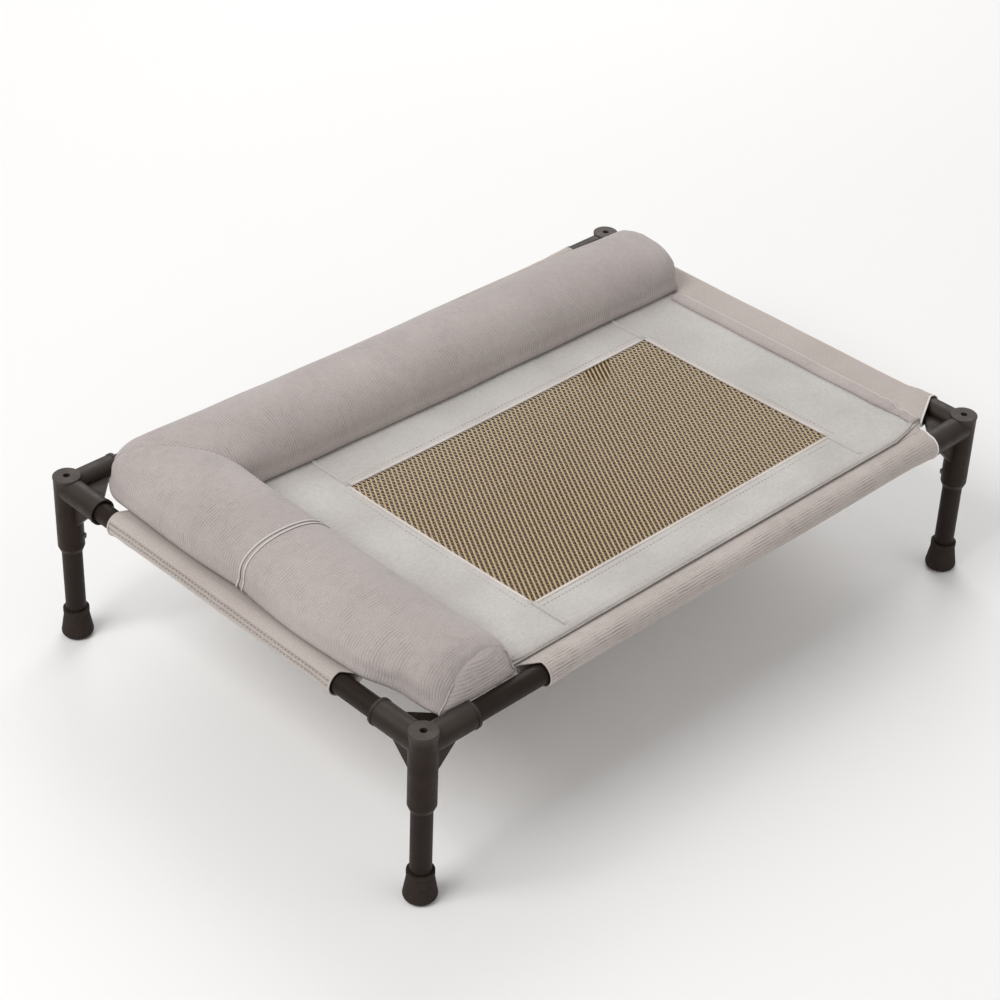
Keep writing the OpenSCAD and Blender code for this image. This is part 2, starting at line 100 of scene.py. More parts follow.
# Light of the surroundings, then each lamp's name, place, width and power in watts
WORLD_LIGHT = 0.44
LAMPS = (
    ("key_lamp", (-2.3, 0.3, 2.7), 1.8, 62),
    ("fill_lamp", (1.0, -2.4, 1.9), 2.2, 10),
    ("back_lamp", (1.9, 1.9, 2.3), 2.2, 44),
)
LAMP_AIM = Vector((0, 0, 0.15))

# Colours as seen on a screen: groove, crest and shade of a corduroy, the groove painted darker as shade
# between the ribs; dark and light of a smooth cloth
CORDUROYS = {
    "sleeve_corduroy": ((158, 147, 141), (201, 190, 184), (245, 244, 243)),
    "bolster_corduroy": ((152, 143, 140), (195, 185, 181), (243, 242, 242)),
}
CLOTHS = {
    "border_cloth": ((189, 184, 179), (201, 197, 192)),
    "band_cloth": ((184, 178, 173), (196, 191, 186)),
    "welt_cloth": ((172, 162, 159), (187, 177, 173)),
    "plain_edge_cloth": ((188, 178, 172), (201, 191, 185)),
    # Pale cloth of the seam ridges, and of the welt's painted highlight
    "ridge_and_highlight_cloth": ((197, 189, 184), (209, 201, 196)),
    "seam_cloth": ((180, 171, 167), (194, 185, 181)),
    "edge_cloth": ((226, 219, 214), (238, 232, 228)),
    "hem_cloth": ((208, 198, 191), (222, 213, 206)),
}
WHITE = (255, 255, 255)
WARM_GLOSS = (1.0, 0.84, 0.74, 1.0)
# Finishes of the rigid nodes, by name or by the first word of it
FRAME_FINISHES = {
    "fitting": "moulded_plastic", "leg": "powder_coat", "rail": "powder_coat", "foot": "foot_rubber",
    "rail_screws": "zinc_screw", "leg_screws": "zinc_screw",
}

# Corduroy ribs, and their fading: the least share left, how often, where it begins and ends, and seed
RIB_PITCH = 2.8 * MM
RIB_STEPS = 5
RIB_STEP = RIB_PITCH / RIB_STEPS
RIB_POWER = 0.7
RIB_DEPTH = 0.42 * MM
RIB_CELL = 9 * MM
RIB_MEAN = 0.72
RIB_WANDER = 0.6 * MM
RIB_FADES = (
    (0.55, 0.3, -0.3, 0.35, Vector((3.1, 7.7, 1.3))),
    (0.35, 1.4, -0.35, 0.25, Vector((8.4, 2.6, 5.9))),
)

# Borders of the sling. Their pulls have a number to the metre, a seed and a height. The corners are cut back
# along the cot and across it, the left ones past the sleeves
SLING_SAG = 5 * MM
BORDER_STEP = 6 * MM
EDGE_CURL = 1.6 * MM
CURL_W = 9 * MM
PULLS = ((14, 1.7, 0.5 * MM), (45, 4.2, 0.18 * MM))
CORNER_CUT = (46 * MM, 9 * MM)
LEFT_CUT = (22 * MM, 10 * MM)

# Sleeves, with the lengths over which they lift off a seam, slant, open at an end, and fold at it
SLEEVE_T = 0.6 * MM
SLEEVE_LAP = 8 * MM
SLEEVE_DIP = 0.5 * MM
SLEEVE_STEP = 5 * MM
LIFT_OVER = 4 * MM
SLANT_OVER = 70 * MM
FLARE_OVER = (34 * MM, 12 * MM)
FOLD_OVER = (7 * MM, 5.5 * MM)
FOLD_RISE = 0.5 * MM
# Unevenness of a sleeve: height, number to the metre along and round it, and seed
SLACK = (0.35 * MM, 16, 30, 2.3)
CRUMPLE = (0.8 * MM, 60, 70, 9.1)
CRUMPLE_W = 26 * MM
PUCKER = (0.35 * MM, 230, 60, 5.7)
PUCKER_W = 5 * MM
# Turns round the left sleeve where it is sewn, and the grooves there, which are painted darker as shade
LEFT_ROWS = (math.radians(150), math.radians(174))
GROOVE_W = 1.2 * MM
GROOVE_DEPTH = 0.6 * MM
GROOVE_PAINTED_SHADE = 0.7
# Rolled edges of the sleeve ends: their points, width and height, and those that are cut and pale
EDGE_N = 72
EDGE_SIZE = (2.2 * MM, 1.5 * MM)
RAW_EDGES = ("right_sleeve_near_edge", "front_sleeve_far_edge")

STITCH_LENGTH = 3 * MM
STITCH_PITCH = 4.4 * MM
STITCH_WIDTH = 0.75 * MM
# How deep stitches and rolled edges lie in their cloth
SUNK = 0.2 * MM

# Trim of the sling: width and height of the window hem, of the seams between borders, and of the hem bands
HEM_SIZE = (3.4 * MM, 1.9 * MM)
HEM_LAP = 0.6 * MM
HEM_STEP = 12 * MM
HEM_ROW = 7 * MM
HEM_ROW_UP = 0.3 * MM
SEAM_SIZE = (5 * MM, 2.8 * MM)
SEAM_STEP = 10 * MM
SEAM_SET = 6 * MM
SEAM_UP = 0.1 * MM
BAND_SIZE = (8 * MM, 3.2 * MM)
BAND_STEP = 5 * MM
BAND_SET = 0.8 * MM
BAND_ENDS = (low("sleeve_front").x - 18 * MM, RIGHT_SEAM - 6 * MM)
BAND_UP = EDGE_CURL * 0.9
BAND_WAVE = 0.5 * MM
BAND_FALL = 1.2 * MM
BAND_ROW = 1.2 * MM
BAND_TAPER = 12 * MM
TAPER_LEAST = 0.35

# Thick welt on the right, the place where it is pinched flat, and its pale fold, a painted highlight along
# its top
WELT_W = 15 * MM
WELT_H = 6.5 * MM
WELT_X = RIGHT_SEAM - 3 * MM
WELT_START = FRONT_SEAM + 10 * MM
WELT_PINCH = FRONT_SEAM + 37 * MM
WELT_STEP = 3 * MM
CRUMPLED = (70 * MM, 10 * MM)
# Its sway and its fullness, from plain to crumpled: how much, how often to the metre, and seed
WELT_SWAY = ((0.9 * MM, 2.1 * MM), (25, 55), 3.3)
WELT_FULL = ((0.12, 0.42), (40, 100), 7.7)
# What its height and its width lose where it is flat and at the pinch, and the width of the pinch
FLAT_OVER = (6 * MM, -6 * MM)
LOW_AT = (0.45, 0.2, 4 * MM)
SLIM_AT = (0.2, 0.15, 5 * MM)
WELT_UP = 0.25
WELT_HIGHLIGHT_SIZE = (2.4 * MM, 1.5 * MM)
WELT_HIGHLIGHT_AT = (0.38, 0.27)
WELT_HIGHLIGHT_TAPER = 10 * MM

# Woven window, with the widths of its light and its dark yarn; the dark yarn is partly its own brown and
# partly painted shade of the gaps in the weave
MESH_PITCH = 4.4 * MM
MESH_LEAN = math.radians(30)
YARN_W = (2.2 * MM, 3.7 * MM)
YARN_T = 0.55 * MM
YARN_WAVE = 0.16 * MM
YARN_RISE = 0.26 * MM

# Bolster: its outer corner, its size, and how far its back arm leans in
BOLSTER_LEFT = LEFT_RAIL + 9 * MM
BOLSTER_BACK = BACK_RAIL - 15 * MM
BOLSTER_W = 105 * MM
BOLSTER_BASE = low("bolster_cover_left").z
BOLSTER_H = high("bolster_cover_left").z - BOLSTER_BASE
BASE_SETTLE = 1 * MM
LEFT_ARM_L = BOLSTER_BACK - FRONT_RAIL - 9 * MM
BACK_ARM_L = high("bolster_cover_back").x - BOLSTER_LEFT
BACK_SLOPE = 13 * MM / BACK_ARM_L
# Its section: powers of its sides, crown and base, the share of its height where it is widest, and its points
SIDE_POWER = 0.9
CROWN_POWER = 0.95
BASE_POWER = 0.14
BASE_PRESS = 1.08
BELLY = 0.36
SECTION_N = 72
FINE_N = 720
# Its form, and the distances from a free end where it bulges no more, draws in and leans
CORNER_R = 50 * MM
SIDE_DRAW = 1 * MM
CORNER_RISE = 3.5 * MM
COVER_INSET = 4 * MM
SEAM_AT = 218 * MM
BULGE_END = 60 * MM
TUCK_OVER = (80 * MM, 36 * MM)
LEAN_OVER = 45 * MM
# The plain form that swells as cloth, held at its base and its seams
PLAIN_STEP = 7 * MM
PLAIN_N = 40
PLAIN_RINGS = (0.72, 0.6, 0.35)
PUFF_PRESSURE = 4.0
PUFF_FRAMES = 20
PUFF_LIMIT = 5 * MM
SEAM_HOLD = 0.8
HOLD_UP = (7 * MM, 2 * MM)
MITRE_HOLD = 8 * MM
CROSS_HOLD = 6 * MM
# Its cover: depth and width of the mitre and of a cross seam, height of waves and creases and their number
MITRE_DIP = (1 * MM, 4.5 * MM)
CROSS_DIP = (0.4 * MM, 8 * MM)
COVER_WAVE = (0.8 * MM, 16)
COVER_CREASE = (1.2 * MM, 105)
CREASE_W = 24 * MM
# Its ends: where ribs fade, by height and from the end, how the cover tucks in, and how far the sewn panel
# stands past it, along, across and up
FADE_UP = (0.35, 0.6)
FADE_OVER = (9 * MM, 2 * MM)
TUCK_SHARE = 0.93
TUCK_BACK = 3 * MM
PANEL_PAST = Vector((0.4, 1.2, 1)) * MM
PANEL_N = 40
PANEL_BACK = 8 * MM
PANEL_GROOVE = 0.9 * MM
PANEL_CREASE = 0.9 * MM
# Rolls over the cross seam and at the near end: width and height
RIDGE_SIZE = (2.4 * MM, 0.75 * MM)
END_SEAM_SIZE = (1.4 * MM, 1.2 * MM)
TAPE_ROUND = 4 * MM

# An arm of the bolster. At its free end: the length of its rounding; how far that draws in the outer and the
# inner side, at the base and at the crown, and the crown; how far the end leans back, the crown drops and the
# base sags; how far the outer side draws in before it; how far its panel swells. Then how far its crown is
# filled up, its cross seams, how far its outer side stands out between them, and its place
Arm = namedtuple(
    "Arm", "length rounding outer_in inner_in crown_in lean drop sag tuck swell fuller seams bulges place"
)


def smooth(a, b, x):
    """Rises smoothly from 0 at a to 1 at b."""
    t = min(1.0, max(0.0, (x - a) / (b - a)))
    return t * t * (3 - 2 * t)


def hill(x, width):
    """A rounded hill of height 1 at 0."""
    return math.exp(-(x / width) ** 2)


def sling_drop(x, y):
    """How far the stretched sling hangs below its seams."""
    along = (x - LEFT_SEAM) / (RIGHT_SEAM - LEFT_SEAM)
    across = (y - FRONT_SEAM) / (BACK_SEAM - FRONT_SEAM)
    if not (0 < along < 1 and 0 < across < 1):
        return 0.0
    return SLING_SAG * math.sin(math.pi * along) * math.sin(math.pi * across)


def settle(bm):
    """Lets a piece hang with the sling."""
    for v in bm.verts:
        v.co.z -= sling_drop(v.co.x, v.co.y)


def worn_rib(s, spot):
    """Height, from 0 to 1, of a worn rib at the distance s across the ribs. spot is its place, in cells."""
    wander = RIB_WANDER * noise.noise(spot)
    share = abs(math.sin(math.pi * (s + wander) / RIB_PITCH)) ** RIB_POWER - RIB_MEAN
    for least, often, start, end, seed in RIB_FADES:
        share *= least + (1 - least) * smooth(start, end, noise.noise(spot * often + seed))
    return RIB_MEAN + share


def make_camera():
    """The photograph's view."""
    back = Vector((
        math.sin(VIEW_TURN) * math.cos(VIEW_TILT),
        -math.cos(VIEW_TURN) * math.cos(VIEW_TILT),
        math.sin(VIEW_TILT),
    ))
    camera = bpy.data.objects.new("camera", bpy.data.cameras.new("camera"))
    camera.data.sensor_width = 36
    camera.data.lens = VIEW_LENS
    camera.data.shift_x, camera.data.shift_y = VIEW_SHIFT
    camera.rotation_mode = "QUATERNION"
    camera.location = VIEW_TARGET + back * VIEW_DISTANCE
    camera.rotation_quaternion = (-back).to_track_quat("-Z", "Y") @ Quaternion(UP, VIEW_ROLL)
    scene.collection.objects.link(camera)
    scene.camera = camera


def tone(red, green, blue):
    """A colour from 0 to 255, as seen on a screen, as a shader colour."""
    def linear(value):
        v = value / 255
        return v / 12.92 if v <= 0.04045 else ((v + 0.055) / 1.055) ** 2.4
    return (linear(red), linear(green), linear(blue), 1.0)


MATERIALS = {}


class Finish:
    """A procedural material: a principled shader and short ways to feed it."""

    def __init__(self, name, roughness, **fixed):
        material = MATERIALS[name] = bpy.data.materials.new(name)
        material.use_nodes = True
        self.tree = material.node_tree
        self.shader = self.tree.nodes["Principled BSDF"]
        self.feed(self.shader, Roughness=roughness, **fixed)
        self.coords = self.tree.nodes.new("ShaderNodeTexCoord").outputs["Object"]
        self.normal = None

    def put(self, socket, value):
        """Links an output to a socket, or sets its value."""
        if isinstance(value, bpy.types.NodeSocket):
            self.tree.links.new(value, socket)
        else:
            socket.default_value = value

    def feed(self, node, **inputs):
        for socket, value in inputs.items():
            self.put(node.inputs[socket.replace("_", " ")], value)

    def node(self, kind, **inputs):
        made = self.tree.nodes.new("ShaderNode" + kind)
        self.feed(made, **inputs)
        return made

    def noise(self, scale, detail=2.0, stretch=None):
        """A noise pattern of about scale cells to the metre, from 0 to 1."""
        coords = self.coords
        if stretch:
            coords = self.node("Mapping", Vector=coords, Scale=stretch).outputs[0]
        return self.node("TexNoise", Vector=coords, Scale=scale, Detail=detail).outputs[0]

    def flecks(self, scale):
        """Cells of even spots, from 0 at a middle to about 1 between them."""
        return self.node("TexVoronoi", Vector=self.coords, Scale=scale).outputs["Distance"]

    def share(self, value, start, end, least=0.0, most=1.0):
        """From least to most, while a value goes from start to end."""
        span = {"From_Min": start, "From_Max": end, "To_Min": least, "To_Max": most}
        return self.node("MapRange", Value=value, **span).outputs[0]

    def attribute(self, name):
        made = self.node("Attribute")
        made.attribute_name = name
        return made.outputs["Fac"]

    def ramp(self, value, *stops):
        """Colours at places of a value, blended between them."""
        made = self.node("ValToRGB", Fac=value)
        points = made.color_ramp.elements
        while len(points) < len(stops):
            points.new(0.5)
        for point, (at, colour) in zip(points, stops):
            point.position = at
            point.color = tone(*colour)
        return made.outputs[0]

    def patches(self, dark, light, scale):
        """Two colours shaded into each other in soft patches."""
        return self.ramp(self.noise(scale, 3.0), (0.35, dark), (0.65, light))

    def fibres(self, pattern, dark):
        """A pattern as a faint shading from a dark grey to white."""
        return self.ramp(pattern, (0.3, dark), (0.7, WHITE))

    def times(self, first, second):
        """One colour times another."""
        made = self.node("Mix")
        made.data_type = "RGBA"
        made.blend_type = "MULTIPLY"
        for socket, value in zip((made.inputs[0], made.inputs[6], made.inputs[7]), (1.0, first, second)):
            self.put(socket, value)
        return made.outputs[2]

    def colour(self, value):
        self.feed(self.shader, Base_Color=value)

    def soften(self, radius):
        """Rounds the look of hard moulded edges."""
        made = self.node("Bevel", Radius=radius)
        made.samples = 6
        self.normal = made.outputs[0]

    def bump(self, height, distance, strength):
        """Adds a bump over those before it."""
        made = self.node("Bump", Height=height, Distance=distance, Strength=strength)
        if self.normal:
            self.feed(made, Normal=self.normal)
        self.normal = made.outputs[0]
        self.feed(self.shader, Normal=self.normal)


def moulded_plastic():
    finish = Finish("moulded_plastic", 0.46, Specular_IOR_Level=0.28, Specular_Tint=WARM_GLOSS)
    # Painted light: the fittings are coloured lighter towards their tops, where light from above falls, and
    # darker and browner towards the bottom.
    height = finish.node("SeparateXYZ", Vector=finish.coords).outputs["Z"]
    height_share = finish.share(height, high("leg_front_left").z, high("fitting_front_left").z)
    painted_light_colour = finish.ramp(height_share, (0.0, (28, 17, 10)), (0.7, (37, 30, 26)), (1.0, (66, 61, 58)))
    finish.colour(finish.times(painted_light_colour, finish.patches((232, 232, 232), WHITE, 30.0)))
    finish.feed(finish.shader, Roughness=finish.share(finish.noise(90.0), 0.3, 0.7, 0.4, 0.55))
    finish.soften(0.5 * MM)
    finish.bump(finish.noise(2600.0, 3.0), 0.05 * MM, 0.5)


def powder_coat():
    finish = Finish("powder_coat", 0.5, Specular_IOR_Level=0.16)
    finish.colour(finish.patches((35, 26, 21), (41, 31, 26), 20.0))
    finish.bump(finish.flecks(900.0), 0.06 * MM, 0.6)
    finish.bump(finish.noise(140.0), 0.1 * MM, 0.3)


def foot_rubber():
    finish = Finish("foot_rubber", 0.8, Specular_IOR_Level=0.25)
    dust = finish.noise(260.0, 5.0)
    finish.colour(finish.ramp(dust, (0.4, (44, 35, 30)), (0.75, (51, 42, 37))))
    finish.soften(0.4 * MM)
    finish.bump(finish.noise(1500.0, 3.0), 0.06 * MM, 0.45)


def zinc_screw():
    finish = Finish("zinc_screw", 0.38, Metallic=1.0)
    finish.colour(finish.patches((92, 90, 88), (120, 118, 115), 400.0))
    finish.bump(finish.noise(900.0, 2.0, (1, 1, 0.1)), 0.03 * MM, 0.5)


def corduroy(name, groove, crest, shade):
    """Ribbed pile, with ribs from the piece's own rib attribute, and the grooves painted darker as shade
    between the ribs.
    """
    finish = Finish(name, 0.92, Specular_IOR_Level=0.15, Sheen_Weight=0.22, Sheen_Roughness=0.55)
    pile = finish.noise(1100.0, 3.0)
    # Painted shade: the groove colour darkens the pile between the ribs, where shade falls.
    ribs = finish.ramp(finish.attribute("rib"), (0.1, groove), (0.75, crest))
    ribs = finish.times(ribs, finish.fibres(pile, (226, 226, 226)))
    finish.colour(finish.times(ribs, finish.patches(shade, WHITE, 9.0)))
    finish.bump(pile, 0.22 * MM, 0.7)


def brushed_cloth(name, dark, light):
    """Smooth short-pile cloth with a faint grain along the cot."""
    finish = Finish(name, 0.95, Specular_IOR_Level=0.12, Sheen_Weight=0.18, Sheen_Roughness=0.6)
    grain = finish.noise(420.0, 4.0, (0.6, 1.2, 1.0))
    finish.colour(finish.times(finish.patches(dark, light, 11.0), finish.fibres(grain, (240, 240, 240))))
    finish.bump(grain, 0.12 * MM, 0.5)
    finish.bump(finish.noise(1500.0), 0.1 * MM, 0.6)


def mesh_yarn():
    """Light and dark yarn, marked by the piece's own tone attribute. The dark yarn is partly its own brown
    and partly painted shade of the gaps between the light yarns.
    """
    finish = Finish("mesh_yarn", 0.85, Specular_IOR_Level=0.2, Sheen_Weight=0.1)
    # Painted shade, in part: the dark yarn's colour also stands for the shade in the gaps between the light
    # yarns.
    yarn = finish.ramp(finish.attribute("tone"), (0.2, (94, 71, 49)), (0.8, (212, 188, 147)))
    finish.colour(finish.times(yarn, finish.fibres(finish.noise(800.0, 3.0), (206, 204, 202))))
    finish.bump(finish.noise(1400.0), 0.1 * MM, 0.7)


def thread():
    finish = Finish("thread", 0.8, Specular_IOR_Level=0.3)
    finish.colour(finish.patches((196, 188, 182), (214, 207, 201), 300.0))
    finish.bump(finish.noise(2400.0), 0.08 * MM, 0.6)


def fastening_tape():
    finish = Finish("fastening_tape", 0.9, Specular_IOR_Level=0.2)
    finish.colour(finish.patches((204, 201, 197), (219, 217, 213), 60.0))
    finish.bump(finish.flecks(1100.0), 0.3 * MM, 0.9)


def pale_floor():
    finish = Finish("pale_floor", 0.9, Specular_IOR_Level=0.1)
    finish.colour(finish.patches((246, 245, 244), (249, 248, 247), 0.5))


def make_finishes():
    for make in (
        pale_floor, moulded_plastic, powder_coat, foot_rubber, zinc_screw, mesh_yarn, thread, fastening_tape,
    ):
        make()
    for name, tones in CORDUROYS.items():
        corduroy(name, *tones)
    for name, tones in CLOTHS.items():
        brushed_cloth(name, *tones)


def make_stage():
    """Pale floor, white surroundings and soft lamps."""
    bm = bmesh.new()
    bmesh.ops.create_grid(bm, x_segments=1, y_segments=1, size=12)
    floor = finished("floor", bm, "pale_floor")

    world = bpy.data.worlds.new("surroundings")
    scene.world = world
    world.use_nodes = True
    nodes, links = world.node_tree.nodes, world.node_tree.links
    nodes.clear()
    chosen = nodes.new("ShaderNodeMixShader")
    links.new(nodes.new("ShaderNodeLightPath").outputs["Is Camera Ray"], chosen.inputs[0])
    for socket, strength in zip(chosen.inputs[1:], (WORLD_LIGHT, 1.0)):
        background = nodes.new("ShaderNodeBackground")
        background.inputs["Color"].default_value = (1, 1, 1, 1)
        background.inputs["Strength"].default_value = strength
        links.new(background.outputs[0], socket)
    links.new(chosen.outputs[0], nodes.new("ShaderNodeOutputWorld").inputs[0])

    for name, place, size, power in LAMPS:
        lamp = bpy.data.objects.new(name, bpy.data.lights.new(name, "AREA"))
        lamp.data.size = size
        lamp.data.energy = power
        lamp.location = place
        lamp.rotation_mode = "QUATERNION"
        lamp.rotation_quaternion = (LAMP_AIM - Vector(place)).to_track_quat("-Z", "Y")
        scene.collection.objects.link(lamp)


def finished(name, bm, material):
    """Makes a bmesh an object with a material, and frees it."""
    mesh = bpy.data.meshes.new(name)
    bm.normal_update()
    bm.to_mesh(mesh)
    bm.free()
    mesh.materials.append(MATERIALS[material])
    made = bpy.data.objects.new(name, mesh)
    scene.collection.objects.link(made)
    return made


def piece(name, bm, material, nodes=(), body="frame"):
    """Makes a bmesh a smooth piece that rides on a body, and stands for CAD nodes."""
    made = finished(name, bm, material)
    made.data.shade_smooth()
    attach(made, body)
    if nodes:
        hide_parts(*nodes)
    return made


def thicken(made, thickness):
    """Gives a sheet its thickness inwards, and rounds its cut edges."""
    shell = made.modifiers.new("thickness", "SOLIDIFY")
    shell.thickness = thickness
    shell.offset = -1
    shell.use_even_offset = True
    edge = made.modifiers.new("edge", "BEVEL")
    edge.width = thickness * 0.3
    edge.segments = 2
    edge.limit_method = "ANGLE"
    edge.angle_limit = math.radians(50)


def everything(bm):
    return bm.verts[:] + bm.edges[:] + bm.faces[:]


def verts_in(geom):
    return [g for g in geom if isinstance(g, bmesh.types.BMVert)]


def edges_in(geom):
    return [g for g in geom if isinstance(g, bmesh.types.BMEdge)]


def middle_of(verts):
    return sum((v.co for v in verts), Vector()) / len(verts)


def outward(bm):
    """Turns all faces outwards."""
    bmesh.ops.recalc_face_normals(bm, faces=bm.faces)


def ring_edges(verts):
    """Edges that run between the given vertices only."""
    inside = set(verts)
    return list(dict.fromkeys(e for v in verts for e in v.link_edges if e.other_vert(v) in inside))


def join(bm, other):
    """Adds another bmesh to a bmesh, and frees it."""
    part = bpy.data.meshes.new("part")
    other.to_mesh(part)
    other.free()
    bm.from_mesh(part)
    bpy.data.meshes.remove(part)


def next_ring(bm, edges):
    """Extrudes a row of edges in place. Returns the new row's vertices and edges."""
    made = bmesh.ops.extrude_edge_only(bm, edges=edges)["geom"]
    ring = verts_in(made)
    inside = set(ring)
    return ring, [e for e in edges_in(made) if inside.issuperset(e.verts)]


def draw_out(bm, edges, move, steps):
    """Extrudes edges by a move in even steps. Returns the last row of edges."""
    far, _ = next_ring(bm, edges)
    inside = set(far)
    bmesh.ops.translate(bm, vec=move, verts=far)
    across = [e for v in far for e in v.link_edges if e.other_vert(v) not in inside]
    if steps > 1:
        bmesh.ops.subdivide_edgering(
            bm, edges=across, cuts=steps - 1, interp_mode="LINEAR", smooth=0, profile_shape_factor=0
        )
    return ring_edges(far)


def roll(stops, segments):
    """A closed roll of cloth through a list of matrices, as a bmesh."""
    bm = bmesh.new()
    ring = bmesh.ops.create_circle(bm, segments=segments, radius=0.5, matrix=stops[0])["verts"]
    first = edges = ring_edges(ring)
    for last, stop in zip(stops, stops[1:]):
        ring, edges = next_ring(bm, edges)
        bmesh.ops.transform(bm, matrix=stop @ last.inverted(), verts=ring)
    bmesh.ops.edgeloop_fill(bm, edges=first)
    bmesh.ops.edgeloop_fill(bm, edges=edges)
    outward(bm)
    return bm


def stop_at(place, side, up, width, height):
    """A matrix that lays a unit circle across a path: width along side, height along up."""
    side, up = side.normalized(), up.normalized()
    turn = Matrix((side * width, up * height, side.cross(up))).transposed().to_4x4()
    return Matrix.Translation(place) @ turn


def oval_band(points, side, width, height, taper=0.0):
    """A soft oval roll through points, narrowing over the length taper at its ends."""
    stops = []
    for p in points:
        share = 1.0
        if taper:
            end = min((p - points[0]).length, (points[-1] - p).length)
            share = TAPER_LEAST + (1 - TAPER_LEAST) * smooth(0, taper, end)
        stops.append(stop_at(p, side, UP, width * share, height * share))
    return roll(stops, 12)


def ridge(points, side, width, height):
    """A thin roll through points, width along side."""
    stops = []
    for k, p in enumerate(points):
        along = points[min(len(points) - 1, k + 1)] - points[max(0, k - 1)]
        stops.append(stop_at(p, side, along.cross(side), width, height))
    return roll(stops, 8)


def spaced(start, end, step):
    """Points from start to end, about step apart."""
    start, end = Vector(start), Vector(end)
    n = max(1, round((end - start).length / step))
    return [start.lerp(end, k / n) for k in range(n + 1)]


def stitches(bm, points, up):
    """A row of sewn stitches along points on a surface that faces up."""
    row = bmesh.new()
    travelled, next_at = 0.0, STITCH_PITCH / 2
    for a, b in zip(points, points[1:]):
        length = (b - a).length
        along = (b - a) / length
        while next_at <= travelled + length:
            place = a + along * (next_at - travelled)
            side = up.cross(along).normalized()
            lie = Matrix((along * STITCH_LENGTH, side * STITCH_WIDTH, along.cross(side) * STITCH_WIDTH))
            bmesh.ops.create_uvsphere(
                row, u_segments=6, v_segments=4, radius=0.5,
                matrix=Matrix.Translation(place) @ lie.transposed().to_4x4(),
            )
            next_at += STITCH_PITCH
        travelled += length
    join(bm, row)


def border_panel(name, node, cuts):
    """A border of the sling: a stretched panel with faint pulls, cut back by planes."""
    start, end = low(node), high(node)
    width, length = end.x - start.x, end.y - start.y
    bm = bmesh.new()
    columns, rows = (max(2, round(size / BORDER_STEP)) for size in (width, length))
    bmesh.ops.create_grid(bm, x_segments=columns, y_segments=rows, size=0.5)
    bmesh.ops.scale(bm, vec=(width, length, 1), verts=bm.verts)
    centre = ((start.x + end.x) / 2, (start.y + end.y) / 2, SLING_TOP)
    bmesh.ops.translate(bm, vec=centre, verts=bm.verts)
    for place, normal in cuts:
        bmesh.ops.bisect_plane(bm, geom=everything(bm), plane_co=place, plane_no=normal, clear_outer=True)
    for v in bm.verts:
        for often, seed, height in PULLS:
            v.co.z += height * noise.noise(Vector((v.co.x * often, v.co.y * often, seed)))
        v.co.z += EDGE_CURL * smooth(CURL_W, 0, min(v.co.y - FRONT_SEAM, BACK_SEAM - v.co.y))
    settle(bm)
    area = sum(f.calc_area() for f in bm.faces)
    made = piece(name, bm, "border_cloth", [node])
    thicken(made, PANEL_T)


def make_borders():
    """The four borders round the window. The left and right ones are cut off at their corners."""
    cuts = {"front": [], "back": [], "left": [], "right": []}
    for seam, side, left_end in (
        (FRONT_SEAM, -1, low("sleeve_left").y - LEFT_CUT[1]), (BACK_SEAM, 1, high("sleeve_left").y),
    ):
        for name, start, end, turn in (
            ("left", (LEFT_SEAM, left_end), low("sleeve_front").x - LEFT_CUT[0], -side),
            ("right", (RIGHT_SEAM, seam - side * CORNER_CUT[1]), RIGHT_SEAM - CORNER_CUT[0], side),
        ):
            start = Vector((*start, SLING_TOP))
            along = Vector((end, seam, SLING_TOP)) - start
            cuts[name].append((start, along.cross(UP) * turn))
    for side, planes in cuts.items():
        border_panel(side + "_border", "border_" + side, planes)


def loop_path(seam):
    """A sleeve's section: its tip under the border, its turns on and off the rail, and the span between."""
    tip = Vector((seam, SLING_TOP - PANEL_T - RAIL_Z - SLEEVE_DIP))
    slope = math.atan2(tip.y, tip.x)
    spread = math.acos(SLEEVE_R / tip.length)
    span = math.sqrt(tip.length ** 2 - SLEEVE_R ** 2)
    return tip, slope + spread, slope - spread + TAU, span


def loop_length(seam):
    """Length of cloth round a sleeve's section."""
    _, start, end, span = loop_path(seam)
    return 2 * (SLEEVE_LAP + span) + (end - start) * SLEEVE_R


def loop_point(s, seam, lift):
    """Point on a sleeve's section at arc length s: distance inward from the rail axis and height above it."""
    tip, start, end, span = loop_path(seam)
    s -= SLEEVE_LAP
    past_tip = min(s, 2 * span + (end - start) * SLEEVE_R - s)
    turn = min(end, max(start, start + (s - span) / SLEEVE_R))
    out = Vector((math.cos(turn), math.sin(turn)))
    if past_tip >= span:
        return out * (SLEEVE_R + lift)
    if s > span:
        tip = tip - Vector((0, SLEEVE_T))
    if past_tip > 0:
        return tip.lerp(out * SLEEVE_R, past_tip / span) + out * lift * smooth(0, LIFT_OVER, past_tip)
    return tip - Vector((SLEEVE_LAP, SLEEVE_DIP)) * (past_tip / SLEEVE_LAP)


def end_lift(x, ends, flares):
    """How far a sleeve opens towards its two ends."""
    lift = 0.0
    for at, flare in zip(ends, flares):
        lift += flare * smooth(*FLARE_OVER, abs(x - at))
        lift += FOLD_RISE * smooth(*FOLD_OVER, abs(x - at))
    return lift


def uneven(kind, x, s):
    """Unevenness of a kind, at the distance x along a sleeve and s round it."""
    height, often_along, often_round, seed = kind
    return height * noise.noise(Vector((x * often_along, s * often_round, seed)))


def sleeve_edge(place, at, seam, lift, slant):
    """The folded edge at the end of a sleeve, as a thin roll round its section."""
    length = loop_length(seam) - 2 * SLEEVE_LAP
    points = []
    for k in range(EDGE_N + 1):
        inward, up = loop_point(SLEEVE_LAP + length * k / EDGE_N, seam, lift - SUNK)
        points.append(place(at + slant * max(0.0, inward), inward, RAIL_Z + up))
    axis = place(1, 0, 0) - place(0, 0, 0)
    return ridge(points, axis, *EDGE_SIZE)


